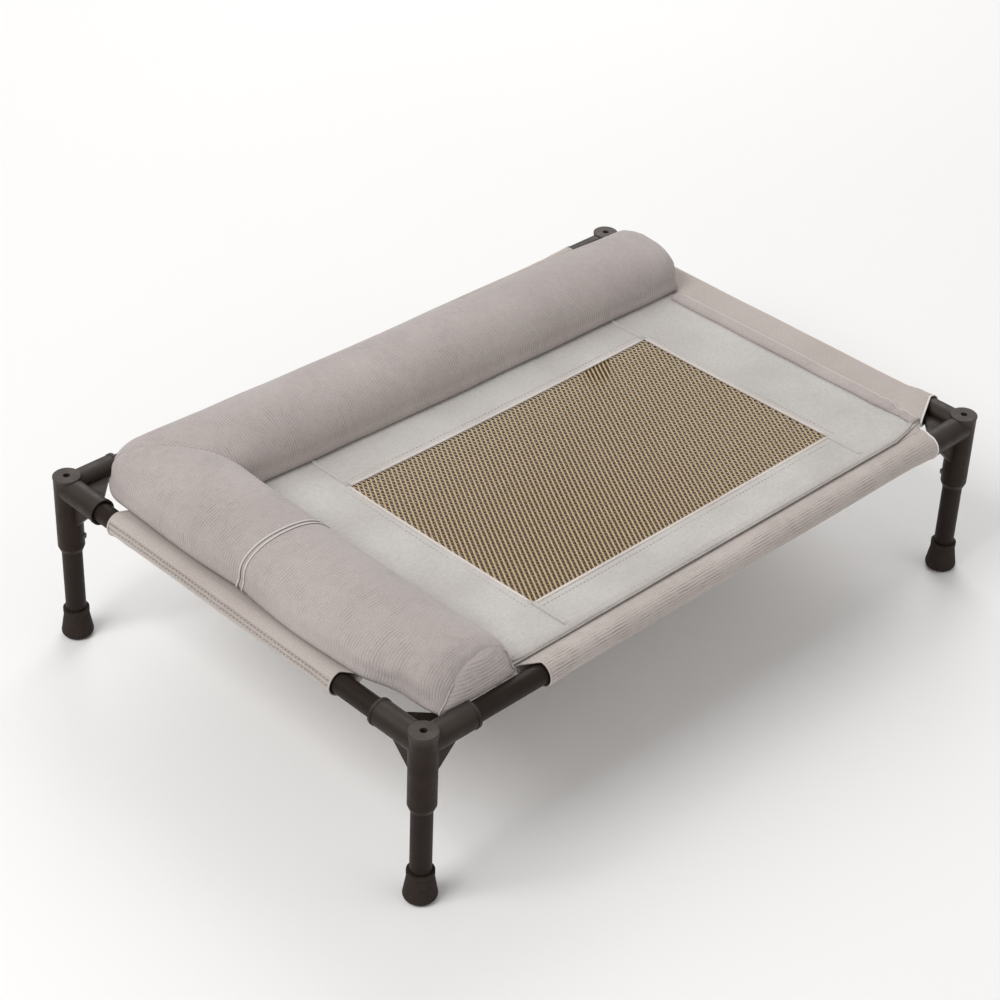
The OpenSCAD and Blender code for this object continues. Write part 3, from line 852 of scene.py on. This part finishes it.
def sleeve(name, node, place, ends, seam, shown, flares, slants=(0, 0), rows=()):
    """A cloth sleeve round a rail. shown is how much its ribs show, flares how far its ends open, slants how
    they run on towards the seam, and rows the turns round the rail where it is sewn down."""
    start, end = ends
    _, first_turn, _, span = loop_path(seam)
    grooves = [SLEEVE_LAP + span + (turn - first_turn) * SLEEVE_R for turn in rows]
    length = loop_length(seam)
    count = round(length / RIB_STEP)
    bm = bmesh.new()
    ribs = bm.verts.layers.float.new("rib")
    arc = bm.verts.layers.float.new("arc")
    v = bm.verts.new((start, 0, 0))
    for k in range(1, count + 1):
        v = bmesh.ops.extrude_vert_indiv(bm, verts=[v])["verts"][0]
        v[arc] = k * length / count
    draw_out(bm, bm.edges[:], (end - start, 0, 0), round((end - start) / SLEEVE_STEP))
    for v in bm.verts:
        x, s = v.co.x, v[arc]
        height_share = worn_rib(s, Vector((x / RIB_CELL, s / RIB_CELL, seam / MM)))
        v[ribs] = RIB_MEAN + shown * (height_share - RIB_MEAN)
        lift = RIB_DEPTH * (v[ribs] - 1) + end_lift(x, ends, flares) + uneven(SLACK, x, s)
        for at in ends:
            lift += hill(x - at, CRUMPLE_W) * uneven(CRUMPLE, x, s)
        for groove in grooves:
            # Painted shade: the sewn grooves are coloured darker, as shade falls in them.
            v[ribs] -= GROOVE_PAINTED_SHADE * hill(s - groove, GROOVE_W)
            lift -= GROOVE_DEPTH * hill(s - groove, GROOVE_W)
            lift += hill(s - groove, PUCKER_W) * uneven(PUCKER, x, s)
        inward, up = loop_point(s, seam, lift)
        for at, slant in zip(ends, slants):
            x += slant * max(0.0, inward) * smooth(SLANT_OVER, 0, abs(v.co.x - at))
        v.co = place(x, inward, RAIL_Z + up)
    outward(bm)
    lowest = min(bm.faces, key=lambda f: f.calc_center_median().z)
    if lowest.normal.z > 0:
        bmesh.ops.reverse_faces(bm, faces=bm.faces)
    made = piece(name, bm, "sleeve_corduroy", [node])
    thicken(made, SLEEVE_T)
    for word, at, slant in zip(("near", "far"), ends, slants):
        bm = sleeve_edge(place, at, seam, end_lift(at, ends, flares), slant)
        edge = name + "_" + word + "_edge"
        cloth = "edge_cloth" if edge in RAW_EDGES else "plain_edge_cloth"
        piece(edge, bm, cloth)


def beside(rail, axis, side):
    """Makes a place for a sleeve: a point along, inward and up, put beside a rail on an axis."""
    def place(along, inward, z):
        point = Vector((along, along, z))
        point[axis] = rail + side * inward
        return point
    return place


def make_sleeves():
    """The four sleeves, with the rows of stitches that the left one shows."""
    seam = FRONT_SEAM - FRONT_RAIL
    sleeve(
        "front_sleeve", "sleeve_front", beside(FRONT_RAIL, 1, 1),
        (low("sleeve_front").x, high("sleeve_front").x), seam,
        shown=1.5, flares=(0.6 * MM, 1.2 * MM), slants=(-1.0, 0.6),
    )
    sleeve(
        "back_sleeve", "sleeve_back", beside(BACK_RAIL, 1, -1),
        (low("sleeve_back").x, high("sleeve_back").x), seam,
        shown=1.0, flares=(0.6 * MM, 0.8 * MM),
    )
    left_front, left_back = low("sleeve_left").y, high("sleeve_left").y
    sleeve(
        "left_sleeve", "sleeve_left", beside(LEFT_RAIL, 0, 1), (left_front, left_back - 4.5 * MM), seam,
        shown=0.25, flares=(0.4 * MM, 0.4 * MM), slants=(-0.7, 0), rows=LEFT_ROWS,
    )
    sleeve(
        "right_sleeve", "sleeve_right", beside(RIGHT_RAIL, 0, -1),
        (low("sleeve_right").y - 13 * MM, high("sleeve_right").y), RIGHT_RAIL - RIGHT_SEAM,
        shown=0.3, flares=(2.6 * MM, 0.8 * MM), slants=(-0.5, 0),
    )

    bm = bmesh.new()
    for turn in LEFT_ROWS:
        out = Vector((math.cos(turn), 0, math.sin(turn)))
        start = Vector((LEFT_RAIL, left_front + 4 * MM, RAIL_Z)) + out * (SLEEVE_R - SUNK)
        end = start + ACROSS * (left_back - left_front - 12 * MM)
        stitches(bm, spaced(start, end, 20 * MM), out)
    piece("left_sleeve_stitches", bm, "thread")


def make_trim():
    """Rolled hem round the window, seams between the borders, hem bands, and their stitches."""
    corners = [Vector((x, y, SLING_TOP)) for x, y in (
        (WINDOW_LEFT, WINDOW_FRONT), (WINDOW_RIGHT, WINDOW_FRONT),
        (WINDOW_RIGHT, WINDOW_BACK), (WINDOW_LEFT, WINDOW_BACK),
    )]
    bm = bmesh.new()
    sewn = bmesh.new()
    out = HEM_SIZE[0] / 2 - HEM_LAP
    for a, b in zip(corners, corners[1:] + corners[:1]):
        run = (b - a).normalized()
        side = run.cross(UP)
        points = [p + side * out for p in spaced(a, b, HEM_STEP)]
        points[0] -= run * out
        points[-1] += run * out
        join(bm, oval_band(points, side, *HEM_SIZE))
        stitches(sewn, [p + side * HEM_ROW + UP * HEM_ROW_UP for p in points], UP)
    settle(bm)
    settle(sewn)
    piece("window_hem", bm, "hem_cloth", ["window_binding"])

    bm = bmesh.new()
    level = SLING_TOP + SEAM_UP
    for x in (WINDOW_LEFT, WINDOW_RIGHT):
        for start, end in ((FRONT_SEAM + SEAM_SET, WINDOW_FRONT), (WINDOW_BACK, BACK_SEAM - SEAM_SET)):
            points = spaced((x, start, level), (x, end, level), SEAM_STEP)
            join(bm, oval_band(points, ALONG, *SEAM_SIZE))
    settle(bm)
    piece("border_seams", bm, "border_cloth")

    band_w, band_h = BAND_SIZE
    level = SLING_TOP + BAND_UP
    for name, y, side in (("front_hem_band", FRONT_SEAM, 1), ("back_hem_band", BACK_SEAM, -1)):
        mid = y + side * (band_w / 2 + BAND_SET)
        points = spaced((BAND_ENDS[0], mid, level), (BAND_ENDS[1], mid, level), BAND_STEP)
        for p in points:
            turned = max(0.0, p.x - RIGHT_SEAM + CORNER_CUT[0]) / CORNER_CUT[0]
            p.y += side * CORNER_CUT[1] * turned
            p.z += BAND_WAVE * noise.noise(Vector((p.x * 40, y * 10, 6.6))) - BAND_FALL * turned
        band = oval_band(points, ACROSS, band_w, band_h, BAND_TAPER)
        settle(band)
        piece(name, band, "band_cloth")
        row = Vector((0, side * BAND_ROW, band_h / 2 - SUNK))
        stitches(sewn, [p + row for p in points], UP)
    piece("sling_stitches", sewn, "thread")


def crumpled(kind, y, near):
    """Unevenness of a kind, at a place along the welt that is crumpled by a share."""
    much, often, seed = kind
    return between(much, near) * noise.noise(Vector((y * between(often, near), seed, 0)))


def pressed(kind, flat, past):
    """Share of the welt's size that is left at a distance past its pinch."""
    loss, pinch, width = kind
    return 1 - loss * flat - pinch * hill(past, width)


def make_welt():
    """The thick welt along the right border, pinched flat and crumpled at its front end, with a pale fold
    along its top as a painted highlight.
    """
    stops, highlight_points = [], []
    for p in spaced((WELT_X, WELT_START, 0), (WELT_X, high("sling_welt").y, 0), WELT_STEP):
        near = smooth(*CRUMPLED, p.y - FRONT_SEAM)
        past = p.y - WELT_PINCH
        flat = smooth(*FLAT_OVER, past)
        tall = WELT_H * (1 + crumpled(WELT_FULL, p.y, near)) * pressed(LOW_AT, flat, past)
        wide = WELT_W * pressed(SLIM_AT, flat, past)
        place = Vector((WELT_X + crumpled(WELT_SWAY, p.y, near), p.y, SLING_TOP + WELT_UP * tall))
        stops.append(stop_at(place, ALONG, UP, wide, tall))
        highlight_points.append(place + Vector((WELT_HIGHLIGHT_AT[0] * wide, 0, WELT_HIGHLIGHT_AT[1] * tall)))
    welt = roll(stops, 20)
    settle(welt)
    piece("right_welt", welt, "welt_cloth", ["sling_welt"])
    # Painted highlight: a pale roll along the welt's top edge, where light from above falls.
    fold = oval_band(highlight_points, ALONG, *WELT_HIGHLIGHT_SIZE, WELT_HIGHLIGHT_TAPER)
    settle(fold)
    piece("welt_painted_highlight", fold, "ridge_and_highlight_cloth")


def make_mesh():
    """The airy window: two sets of yarns leaning either way, woven over and under each other."""
    start, end = low("mesh_panel"), high("mesh_panel")
    centre = (start + end) / 2
    half = (end - start) / 2
    leans = (MESH_LEAN, -MESH_LEAN)
    normals = [Vector((math.cos(lean), -math.sin(lean), 0)) for lean in leans]
    half_step = MESH_PITCH / math.sin(2 * MESH_LEAN) / 2
    bm = bmesh.new()
    for side, lean, normal, width in zip((1, -1), leans, normals, YARN_W):
        along = Vector((math.sin(lean), math.cos(lean), 0))
        across = ALONG * (MESH_PITCH / math.cos(lean))
        steps = 2 * math.ceil(half.y / math.cos(lean) / half_step)
        reach = math.ceil((half.x + half.y * math.tan(MESH_LEAN)) / across.x)
        first = centre - across * reach - along * (steps / 2 * half_step)
        family = bmesh.new()
        tones = family.verts.layers.float.new("tone")
        ring = bmesh.ops.create_circle(
            family, segments=4, radius=0.5, matrix=stop_at(first, normal, UP, width, YARN_T)
        )["verts"]
        draw_out(family, ring_edges(ring), along * (steps * half_step), steps)
        count = 1
        while count <= 2 * reach:
            copied = bmesh.ops.duplicate(family, geom=everything(family))["geom"]
            bmesh.ops.translate(family, vec=across * count, verts=verts_in(copied))
            count *= 2
        for face in (-ALONG * half.x, ALONG * half.x, -ACROSS * half.y, ACROSS * half.y):
            bmesh.ops.bisect_plane(
                family, geom=everything(family), plane_co=centre + face, plane_no=face, clear_outer=True
            )
        bmesh.ops.edgeloop_fill(family, edges=[e for e in family.edges if e.is_boundary])
        for v in family.verts:
            # Tone 0 marks the dark yarn, whose colour is partly painted shade.
            v[tones] = 1.0 if side > 0 else 0.0
            phase = sum((v.co - centre).dot(n) for n in normals) / MESH_PITCH
            v.co.z += side * (YARN_RISE + YARN_WAVE * math.cos(math.pi * phase))
        join(bm, family)
    outward(bm)
    settle(bm)
    made = piece("mesh_window", bm, "mesh_yarn", ["mesh_panel"])


def section_shape(turn):
    """Share of the width, from the outer side, and of the height of the bolster's section at a turn."""
    c, s = math.cos(turn), math.sin(turn)
    across = (1 + math.copysign(abs(c) ** SIDE_POWER, c)) / 2
    if s >= 0:
        return Vector((across, BELLY + (1 - BELLY) * s ** CROWN_POWER))
    return Vector((across, max(0.0, BELLY * (1 - BASE_PRESS * (-s) ** BASE_POWER))))


def even_section():
    """The bolster's section as points an even length apart, beginning at the inner side."""
    fine = [section_shape(TAU * k / (4 * FINE_N)) for k in range(4 * FINE_N + 1)]
    lengths = [0.0]
    for a, b in zip(fine, fine[1:]):
        lengths.append(lengths[-1] + math.hypot((b.x - a.x) * BOLSTER_W, (b.y - a.y) * BOLSTER_H))
    points, at = [], 0
    for k in range(FINE_N):
        goal = lengths[-1] * k / FINE_N
        while lengths[at + 1] < goal:
            at += 1
        points.append(fine[at].lerp(fine[at + 1], (goal - lengths[at]) / (lengths[at + 1] - lengths[at])))
    return points


FINE_SECTION = even_section()


def section(turn):
    """Share of the width and of the height at a turn round the section, even along its outline."""
    at = turn / TAU % 1.0 * FINE_N
    k = int(at)
    return FINE_SECTION[k % FINE_N].lerp(FINE_SECTION[(k + 1) % FINE_N], at - k)


def half_width(height):
    """Share of the half width of the bolster's section at a share of its height."""
    if height >= BELLY:
        s = ((height - BELLY) / (1 - BELLY)) ** (1 / CROWN_POWER)
    else:
        s = min(1.0, (1 - height / BELLY) / BASE_PRESS) ** (1 / BASE_POWER)
    return math.sqrt(max(0.0, 1 - min(1.0, s) ** 2)) ** SIDE_POWER


def bulge_at(p, arm):
    """How far the outer side of an arm stands out between its seams."""
    stops = [BOLSTER_W / 2, *arm.seams, arm.length - BULGE_END]
    for a, b, rise in zip(stops, stops[1:], arm.bulges):
        if a < p < b:
            return rise * math.sin(math.pi * (p - a) / (b - a))
    return 0.0


def between(pair, share):
    return pair[0] + (pair[1] - pair[0]) * share


def arm_limits(p, up, arm, rounded):
    """Outer side, inner side, base and crown of an arm, at a distance p from the outer corner and a share of
    its height, where its end is rounded by a share. It is a little small, for the cloth to swell from."""
    share = (p - BOLSTER_W) / (arm.length - BOLSTER_W)
    full = math.sin(math.pi * min(1.0, max(0.0, share)))
    rise = CORNER_RISE if p < (BOLSTER_W + arm.length) / 2 else -arm.drop
    inset = COVER_INSET * smooth(0, 0.3, up)
    outer = inset + rounded * between(arm.outer_in, up)
    outer += arm.tuck * smooth(*TUCK_OVER, arm.length - p) - bulge_at(p, arm)
    inner = BOLSTER_W - inset - SIDE_DRAW * full - rounded * between(arm.inner_in, up)
    base = BOLSTER_BASE - BASE_SETTLE - rounded * arm.sag
    crown = BOLSTER_BASE + BOLSTER_H - COVER_INSET + rise * (1 - full) + arm.fuller * full
    return outer, inner, base, crown - rounded * arm.crown_in


def arm_point(p, turn, arm, rounded=0.0):
    """A point of an arm in its own frame: along from the outer corner, across from the outer side, up."""
    across, up = section(turn)
    outer, inner, base, crown = arm_limits(p, up, arm, rounded)
    lean = arm.lean * up * smooth(arm.length - LEAN_OVER, arm.length, p)
    return Vector((p - lean, outer + (inner - outer) * across, base + (crown - base) * up))


def round_corner(co):
    """Draws the square outer corner of the two arms onto a round one."""
    u, v = CORNER_R - co.x, CORNER_R - co.y
    if u > 0 and v > 0:
        share = max(u, v) / math.hypot(u, v)
        co.x, co.y = CORNER_R - u * share, CORNER_R - v * share


def on_back_arm(co):
    """Puts a point of the back arm in its place, leaning in more the further it is to the right."""
    return Vector((BOLSTER_LEFT + co.x, BOLSTER_BACK - co.y - BACK_SLOPE * co.x, co.z))


def on_left_arm(co):
    return on_back_arm(co.yxz)


LEFT_ARM = Arm(
    length=LEFT_ARM_L, rounding=22 * MM, outer_in=(4.5 * MM, 33 * MM), inner_in=(3.5 * MM, 6 * MM),
    crown_in=9 * MM, lean=10 * MM, drop=2 * MM, sag=1.5 * MM, tuck=9.5 * MM, swell=4.5 * MM,
    fuller=0.0, seams=(SEAM_AT,), bulges=(2 * MM, 5 * MM), place=on_left_arm,
)
BACK_ARM = Arm(
    length=BACK_ARM_L, rounding=12 * MM, outer_in=(6 * MM, 5 * MM), inner_in=(6 * MM, 8 * MM),
    crown_in=4 * MM, lean=0.0, drop=-2.5 * MM, sag=0.0, tuck=2 * MM, swell=2.4 * MM,
    fuller=2.5 * MM, seams=(), bulges=(1.5 * MM,), place=on_back_arm,
)


def end_bend(arm):
    """Length of cloth round the rounding of an arm's free end."""
    return math.hypot(arm.rounding, (arm.crown_in + arm.outer_in[1]) / 2) * 1.1


def arm_tube(arm, step, segments):
    """An arm as a tube in its own frame. Returns the bmesh, its last edges, and its layer of lengths."""
    bm = bmesh.new()
    arc = bm.verts.layers.float.new("arc")
    turns = bm.verts.layers.float.new("turn")
    ring = bmesh.ops.create_circle(bm, segments=segments, radius=1)["verts"]
    for v in ring:
        v[turns] = math.atan2(v.co.y, v.co.x)
        v.co = (0, v.co.x, v.co.y)
    steps = math.floor((arm.length - arm.rounding) / step)
    begin = steps * step
    edges = draw_out(bm, ring_edges(ring), (begin, 0, 0), steps)
    for v in bm.verts:
        v[arc] = v.co.x
        v.co = arm_point(v.co.x, v[turns], arm)
    bend = end_bend(arm)
    rounds = max(4, math.ceil(bend / step))
    for k in range(1, rounds + 1):
        turn = math.pi / 2 * k / rounds
        p = begin + (arm.length - begin) * math.sin(turn)
        ring, edges = next_ring(bm, edges)
        for v in ring:
            v[arc] = begin + bend * k / rounds
            v.co = arm_point(p, v[turns], arm, 1 - math.cos(turn))
    return bm, edges, arc


def cut_mitre(bm):
    """Cuts an arm at the mitre. Returns the edges of the cut."""
    cut = bmesh.ops.bisect_plane(
        bm, geom=everything(bm), dist=1e-6, plane_co=(0, 0, 0), plane_no=(1, -1, 0), clear_inner=True
    )
    return edges_in(cut["geom_cut"])


def shrink_ring(bm, ring, share, centre):
    bmesh.ops.scale(bm, vec=(share, share, share), space=Matrix.Translation(-centre), verts=ring)


def plain_bolster():
    """The whole bolster as one plain closed form, a little small, for the cloth to swell from."""
    whole = bmesh.new()
    for arm in (LEFT_ARM, BACK_ARM):
        bm, edges, _ = arm_tube(arm, PLAIN_STEP, PLAIN_N)
        centre = middle_of(list(dict.fromkeys(v for e in edges for v in e.verts)))
        for share in PLAIN_RINGS:
            ring, edges = next_ring(bm, edges)
            shrink_ring(bm, ring, share, centre)
        bmesh.ops.edgeloop_fill(bm, edges=edges)
        cut_mitre(bm)
        for v in bm.verts:
            round_corner(v.co)
            v.co = arm.place(v.co)
        join(whole, bm)
    bmesh.ops.remove_doubles(whole, verts=whole.verts, dist=0.05 * MM)
    outward(whole)
    settle(whole)
    return whole


def held_share(co):
    """How firmly the swelling cloth is held at a place: at its base and along its seams."""
    base = smooth(*HOLD_UP, co.z - BOLSTER_BASE + BASE_SETTLE + sling_drop(co.x, co.y))
    across = co.x - BOLSTER_LEFT
    along = BOLSTER_BACK - co.y - BACK_SLOPE * across
    seam = hill(across - along, MITRE_HOLD)
    if across < BOLSTER_W:
        seam = max(seam, hill(along - SEAM_AT, CROSS_HOLD))
    return max(base, SEAM_HOLD * seam)


def swell():
    """Blows the plain bolster up as cloth. Returns its tree, points, faces and moves."""
    bm = plain_bolster()
    mesh = bpy.data.meshes.new("bolster_form")
    bm.to_mesh(mesh)
    bm.free()
    form = bpy.data.objects.new("bolster_form", mesh)
    scene.collection.objects.link(form)
    before = [v.co.copy() for v in mesh.vertices]
    held = form.vertex_groups.new(name="held")
    for v in mesh.vertices:
        held.add([v.index], held_share(v.co), "REPLACE")
    moves = [Vector() for _ in before]
    cloth = form.modifiers.new("cloth", "CLOTH")
    cloth.settings.quality = 6
    cloth.settings.use_pressure = True
    cloth.settings.uniform_pressure_force = PUFF_PRESSURE
    cloth.settings.vertex_group_mass = "held"
    cloth.settings.effector_weights.gravity = 0
    cloth.collision_settings.use_collision = False
    for step in range(1, PUFF_FRAMES + 1):
        scene.frame_set(step)
    shown = form.evaluated_get(bpy.context.evaluated_depsgraph_get())
    moves = [v.co - start for start, v in zip(before, shown.data.vertices)]
    for move in moves:
        if move.length > PUFF_LIMIT:
            move.length = PUFF_LIMIT
    scene.frame_set(1)
    faces = [list(f.vertices) for f in mesh.polygons]
    bpy.data.objects.remove(form)
    return BVHTree.FromPolygons(before, faces), before, faces, moves


def follow(verts, form):
    """Moves vertices with the swollen form under them."""
    tree, before, faces, moves = form
    for v in verts:
        place, _, index, _ = tree.find_nearest(v.co)
        face = faces[index]
        shares = poly_3d_calc([before[i] for i in face], place)
        v.co += sum((moves[i] * w for i, w in zip(face, shares)), Vector())


def cover_lift(co, arc, arm):
    """Lift of the cover over its plain form, and the rib height, at a place on an arm."""
    height = worn_rib(arc, co / RIB_CELL + UP * (arm.length * 50))
    met = smooth(*FADE_OVER, arm.length - arm.rounding + end_bend(arm) - arc)
    met *= smooth(*FADE_UP, (co.z - BOLSTER_BASE) / BOLSTER_H)
    height += (RIB_MEAN - height) * met
    lift = RIB_DEPTH * (height - 1)
    lift -= MITRE_DIP[0] * hill((co.x - co.y) / math.sqrt(2), MITRE_DIP[1])
    lift += COVER_WAVE[0] * noise.noise(co * COVER_WAVE[1] + UP * (3.1 + arm.length))
    near_end = hill(arm.length - arc + 4 * MM, CREASE_W)
    lift += COVER_CREASE[0] * near_end * noise.noise(co * COVER_CREASE[1])
    for seam in arm.seams:
        lift -= CROSS_DIP[0] * hill(arc - seam, CROSS_DIP[1])
    return lift, height


def panel_point(share, up, arm, proud):
    """A point of an arm's end panel: share from -1 at its outer edge to 1, and share of its height."""
    outer, inner, base, crown = arm_limits(arm.length, up, arm, 1.0)
    past = PANEL_PAST * smooth(0.4, 0.7, up)
    half = max(0.02, half_width(up)) * ((inner - outer) / 2 + 0.5 * MM) + past.y
    return Vector((
        arm.length - arm.lean * up + past.x + proud,
        (outer + inner) / 2 + share * half,
        base + up * (crown + past.z - base),
    ))


def end_panel(arm):
    """The sewn end of an arm in its own frame: a swollen panel with level ribs, closed behind."""
    bm = bmesh.new()
    ribs = bm.verts.layers.float.new("rib")
    _, _, base, crown = arm_limits(arm.length, 0.5, arm, 1.0)
    tall = crown - base
    bmesh.ops.create_grid(bm, x_segments=PANEL_N, y_segments=round(tall / RIB_STEP), size=1)
    for v in bm.verts:
        share, up = v.co.x, (v.co.y + 1) / 2
        co = panel_point(share, up, arm, 0)
        round_off = (1 - share ** 2) * (1 - (2 * up - 1) ** 4)
        met = smooth(*FADE_UP, up) * smooth(0.4, 0.1, round_off)
        v[ribs] = RIB_MEAN + (worn_rib(up * tall, co / RIB_CELL) - RIB_MEAN) * (1 - met)
        proud = arm.swell * round_off ** (0.6 + 0.8 * smooth(0.4, 0.8, up))
        proud -= PANEL_GROOVE * smooth(0.3, 0, round_off)
        proud += RIB_DEPTH * (v[ribs] - 1) * min(1.0, 4 * round_off)
        crease = noise.noise(Vector((co.y * 22 - co.z * 14, co.z * 150, 3.3))) * min(1.0, 3 * round_off)
        v.co = co + ALONG * (proud + PANEL_CREASE * crease)
    ring, back = next_ring(bm, [e for e in bm.edges if e.is_boundary])
    bmesh.ops.translate(bm, vec=(-PANEL_BACK, 0, 0), verts=ring)
    bmesh.ops.edgeloop_fill(bm, edges=back)
    outward(bm)
    return bm


def bolster_arm(name, nodes, arm, form):
    """One corduroy arm of the bolster with its sewn end."""
    bm, edges, arc = arm_tube(arm, RIB_STEP, SECTION_N)
    ribs = bm.verts.layers.float.new("rib")
    tucked, edges = next_ring(bm, edges)
    shrink_ring(bm, tucked, TUCK_SHARE, middle_of(tucked))
    bmesh.ops.translate(bm, vec=(-TUCK_BACK, 0, 0), verts=tucked)
    bmesh.ops.edgeloop_fill(bm, edges=edges)
    bmesh.ops.edgeloop_fill(bm, edges=cut_mitre(bm))
    outward(bm)
    bm.normal_update()
    hidden = set(tucked)
    moved = []
    for v in bm.verts:
        lift, v[ribs] = cover_lift(v.co, v[arc], arm)
        direction = v.normal.copy()
        if abs(v.co.x - v.co.y) < 1e-5:
            direction = UP if v.co.z > BOLSTER_BASE + BELLY * BOLSTER_H else Vector()
        moved.append(v.co + direction * (0 if v in hidden else lift))
    for v, co in zip(bm.verts, moved):
        v.co = co
        round_corner(v.co)
    join(bm, end_panel(arm))
    for v in bm.verts:
        v.co = arm.place(v.co)
    outward(bm)
    settle(bm)
    follow(bm.verts, form)
    made = piece(name, bm, "bolster_corduroy", nodes, "bolster")


def bolster_rolls(name, rows, size, material, form):
    """Thin rolls of cloth over the left arm, along rows of points in its own frame."""
    bm = bmesh.new()
    for row in rows:
        join(bm, ridge([on_left_arm(p) for p in row], ACROSS, *size))
    settle(bm)
    follow(bm.verts, form)
    piece(name, bm, material, body="bolster")


def make_bolster():
    """Both arms, the two ridges over the cross seam, and the seams of the near end."""
    form = swell()
    bolster_arm("bolster_left_arm", ["bolster_cover_left", "bolster_filling_left"], LEFT_ARM, form)
    bolster_arm("bolster_back_arm", ["bolster_cover_back", "bolster_filling_back"], BACK_ARM, form)

    # Over the arm, as far down on both sides as it stands clear of the sling
    turns = [TAU * k / 180 for k in range(-36, 116)]
    turns = [(turn, section(turn).y) for turn in turns if section(turn).y > 0.02]
    rows = [
        [arm_point(SEAM_AT + side * (3.6 - 1.3 * up) * MM, turn, LEFT_ARM) for turn, up in turns]
        for side in (-1, 1)
    ]
    bolster_rolls("cross_seam_ridges", rows, RIDGE_SIZE, "ridge_and_highlight_cloth", form)

    # Up the outer and the inner edge of the end panel, to a share of its height
    rows = [
        [panel_point(share, reach * k / 40, LEFT_ARM, -0.1 * MM) for k in range(41)]
        for share, reach in ((-1, 0.6), (1, 0.75))
    ]
    bolster_rolls("near_end_seams", rows, END_SEAM_SIZE, "seam_cloth", form)


def make_tapes():
    """Hook and loop tapes: strips with rounded corners."""
    for name, node, body, rests_on in (
        ("loop_tapes", "loop_tabs", "frame", ["left_border", "back_border"]),
        ("hook_tapes", "hook_tabs", "bolster", ["bolster_left_arm", "bolster_back_arm"]),
    ):
        bm = bmesh.new()
        bm.from_mesh(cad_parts[node].data)
        bmesh.ops.remove_doubles(bm, verts=bm.verts, dist=0.01 * MM)
        bmesh.ops.dissolve_limit(bm, angle_limit=math.radians(1), verts=bm.verts, edges=bm.edges)
        upright = [e for e in bm.edges if abs((e.verts[0].co - e.verts[1].co).normalized().z) > 0.9]
        bmesh.ops.bevel(
            bm, geom=upright, offset=TAPE_ROUND, offset_type="OFFSET", segments=4, profile=0.5,
            affect="EDGES", material=-1,
        )
        settle(bm)
        made = piece(name, bm, "fastening_tape", [node], body)
        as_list(rests_on)


def dress_frame():
    """Gives the rigid pieces of the frame their finishes."""
    for name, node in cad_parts.items():
        finish = FRAME_FINISHES.get(name) or FRAME_FINISHES.get(name.split("_")[0])
        if finish:
            node.data.materials.clear()
            node.data.materials.append(MATERIALS[finish])


scene.view_settings.view_transform = "Standard"
make_camera()
make_finishes()
make_stage()
dress_frame()
make_borders()
make_sleeves()
make_trim()
make_welt()
make_mesh()
make_bolster()
make_tapes()
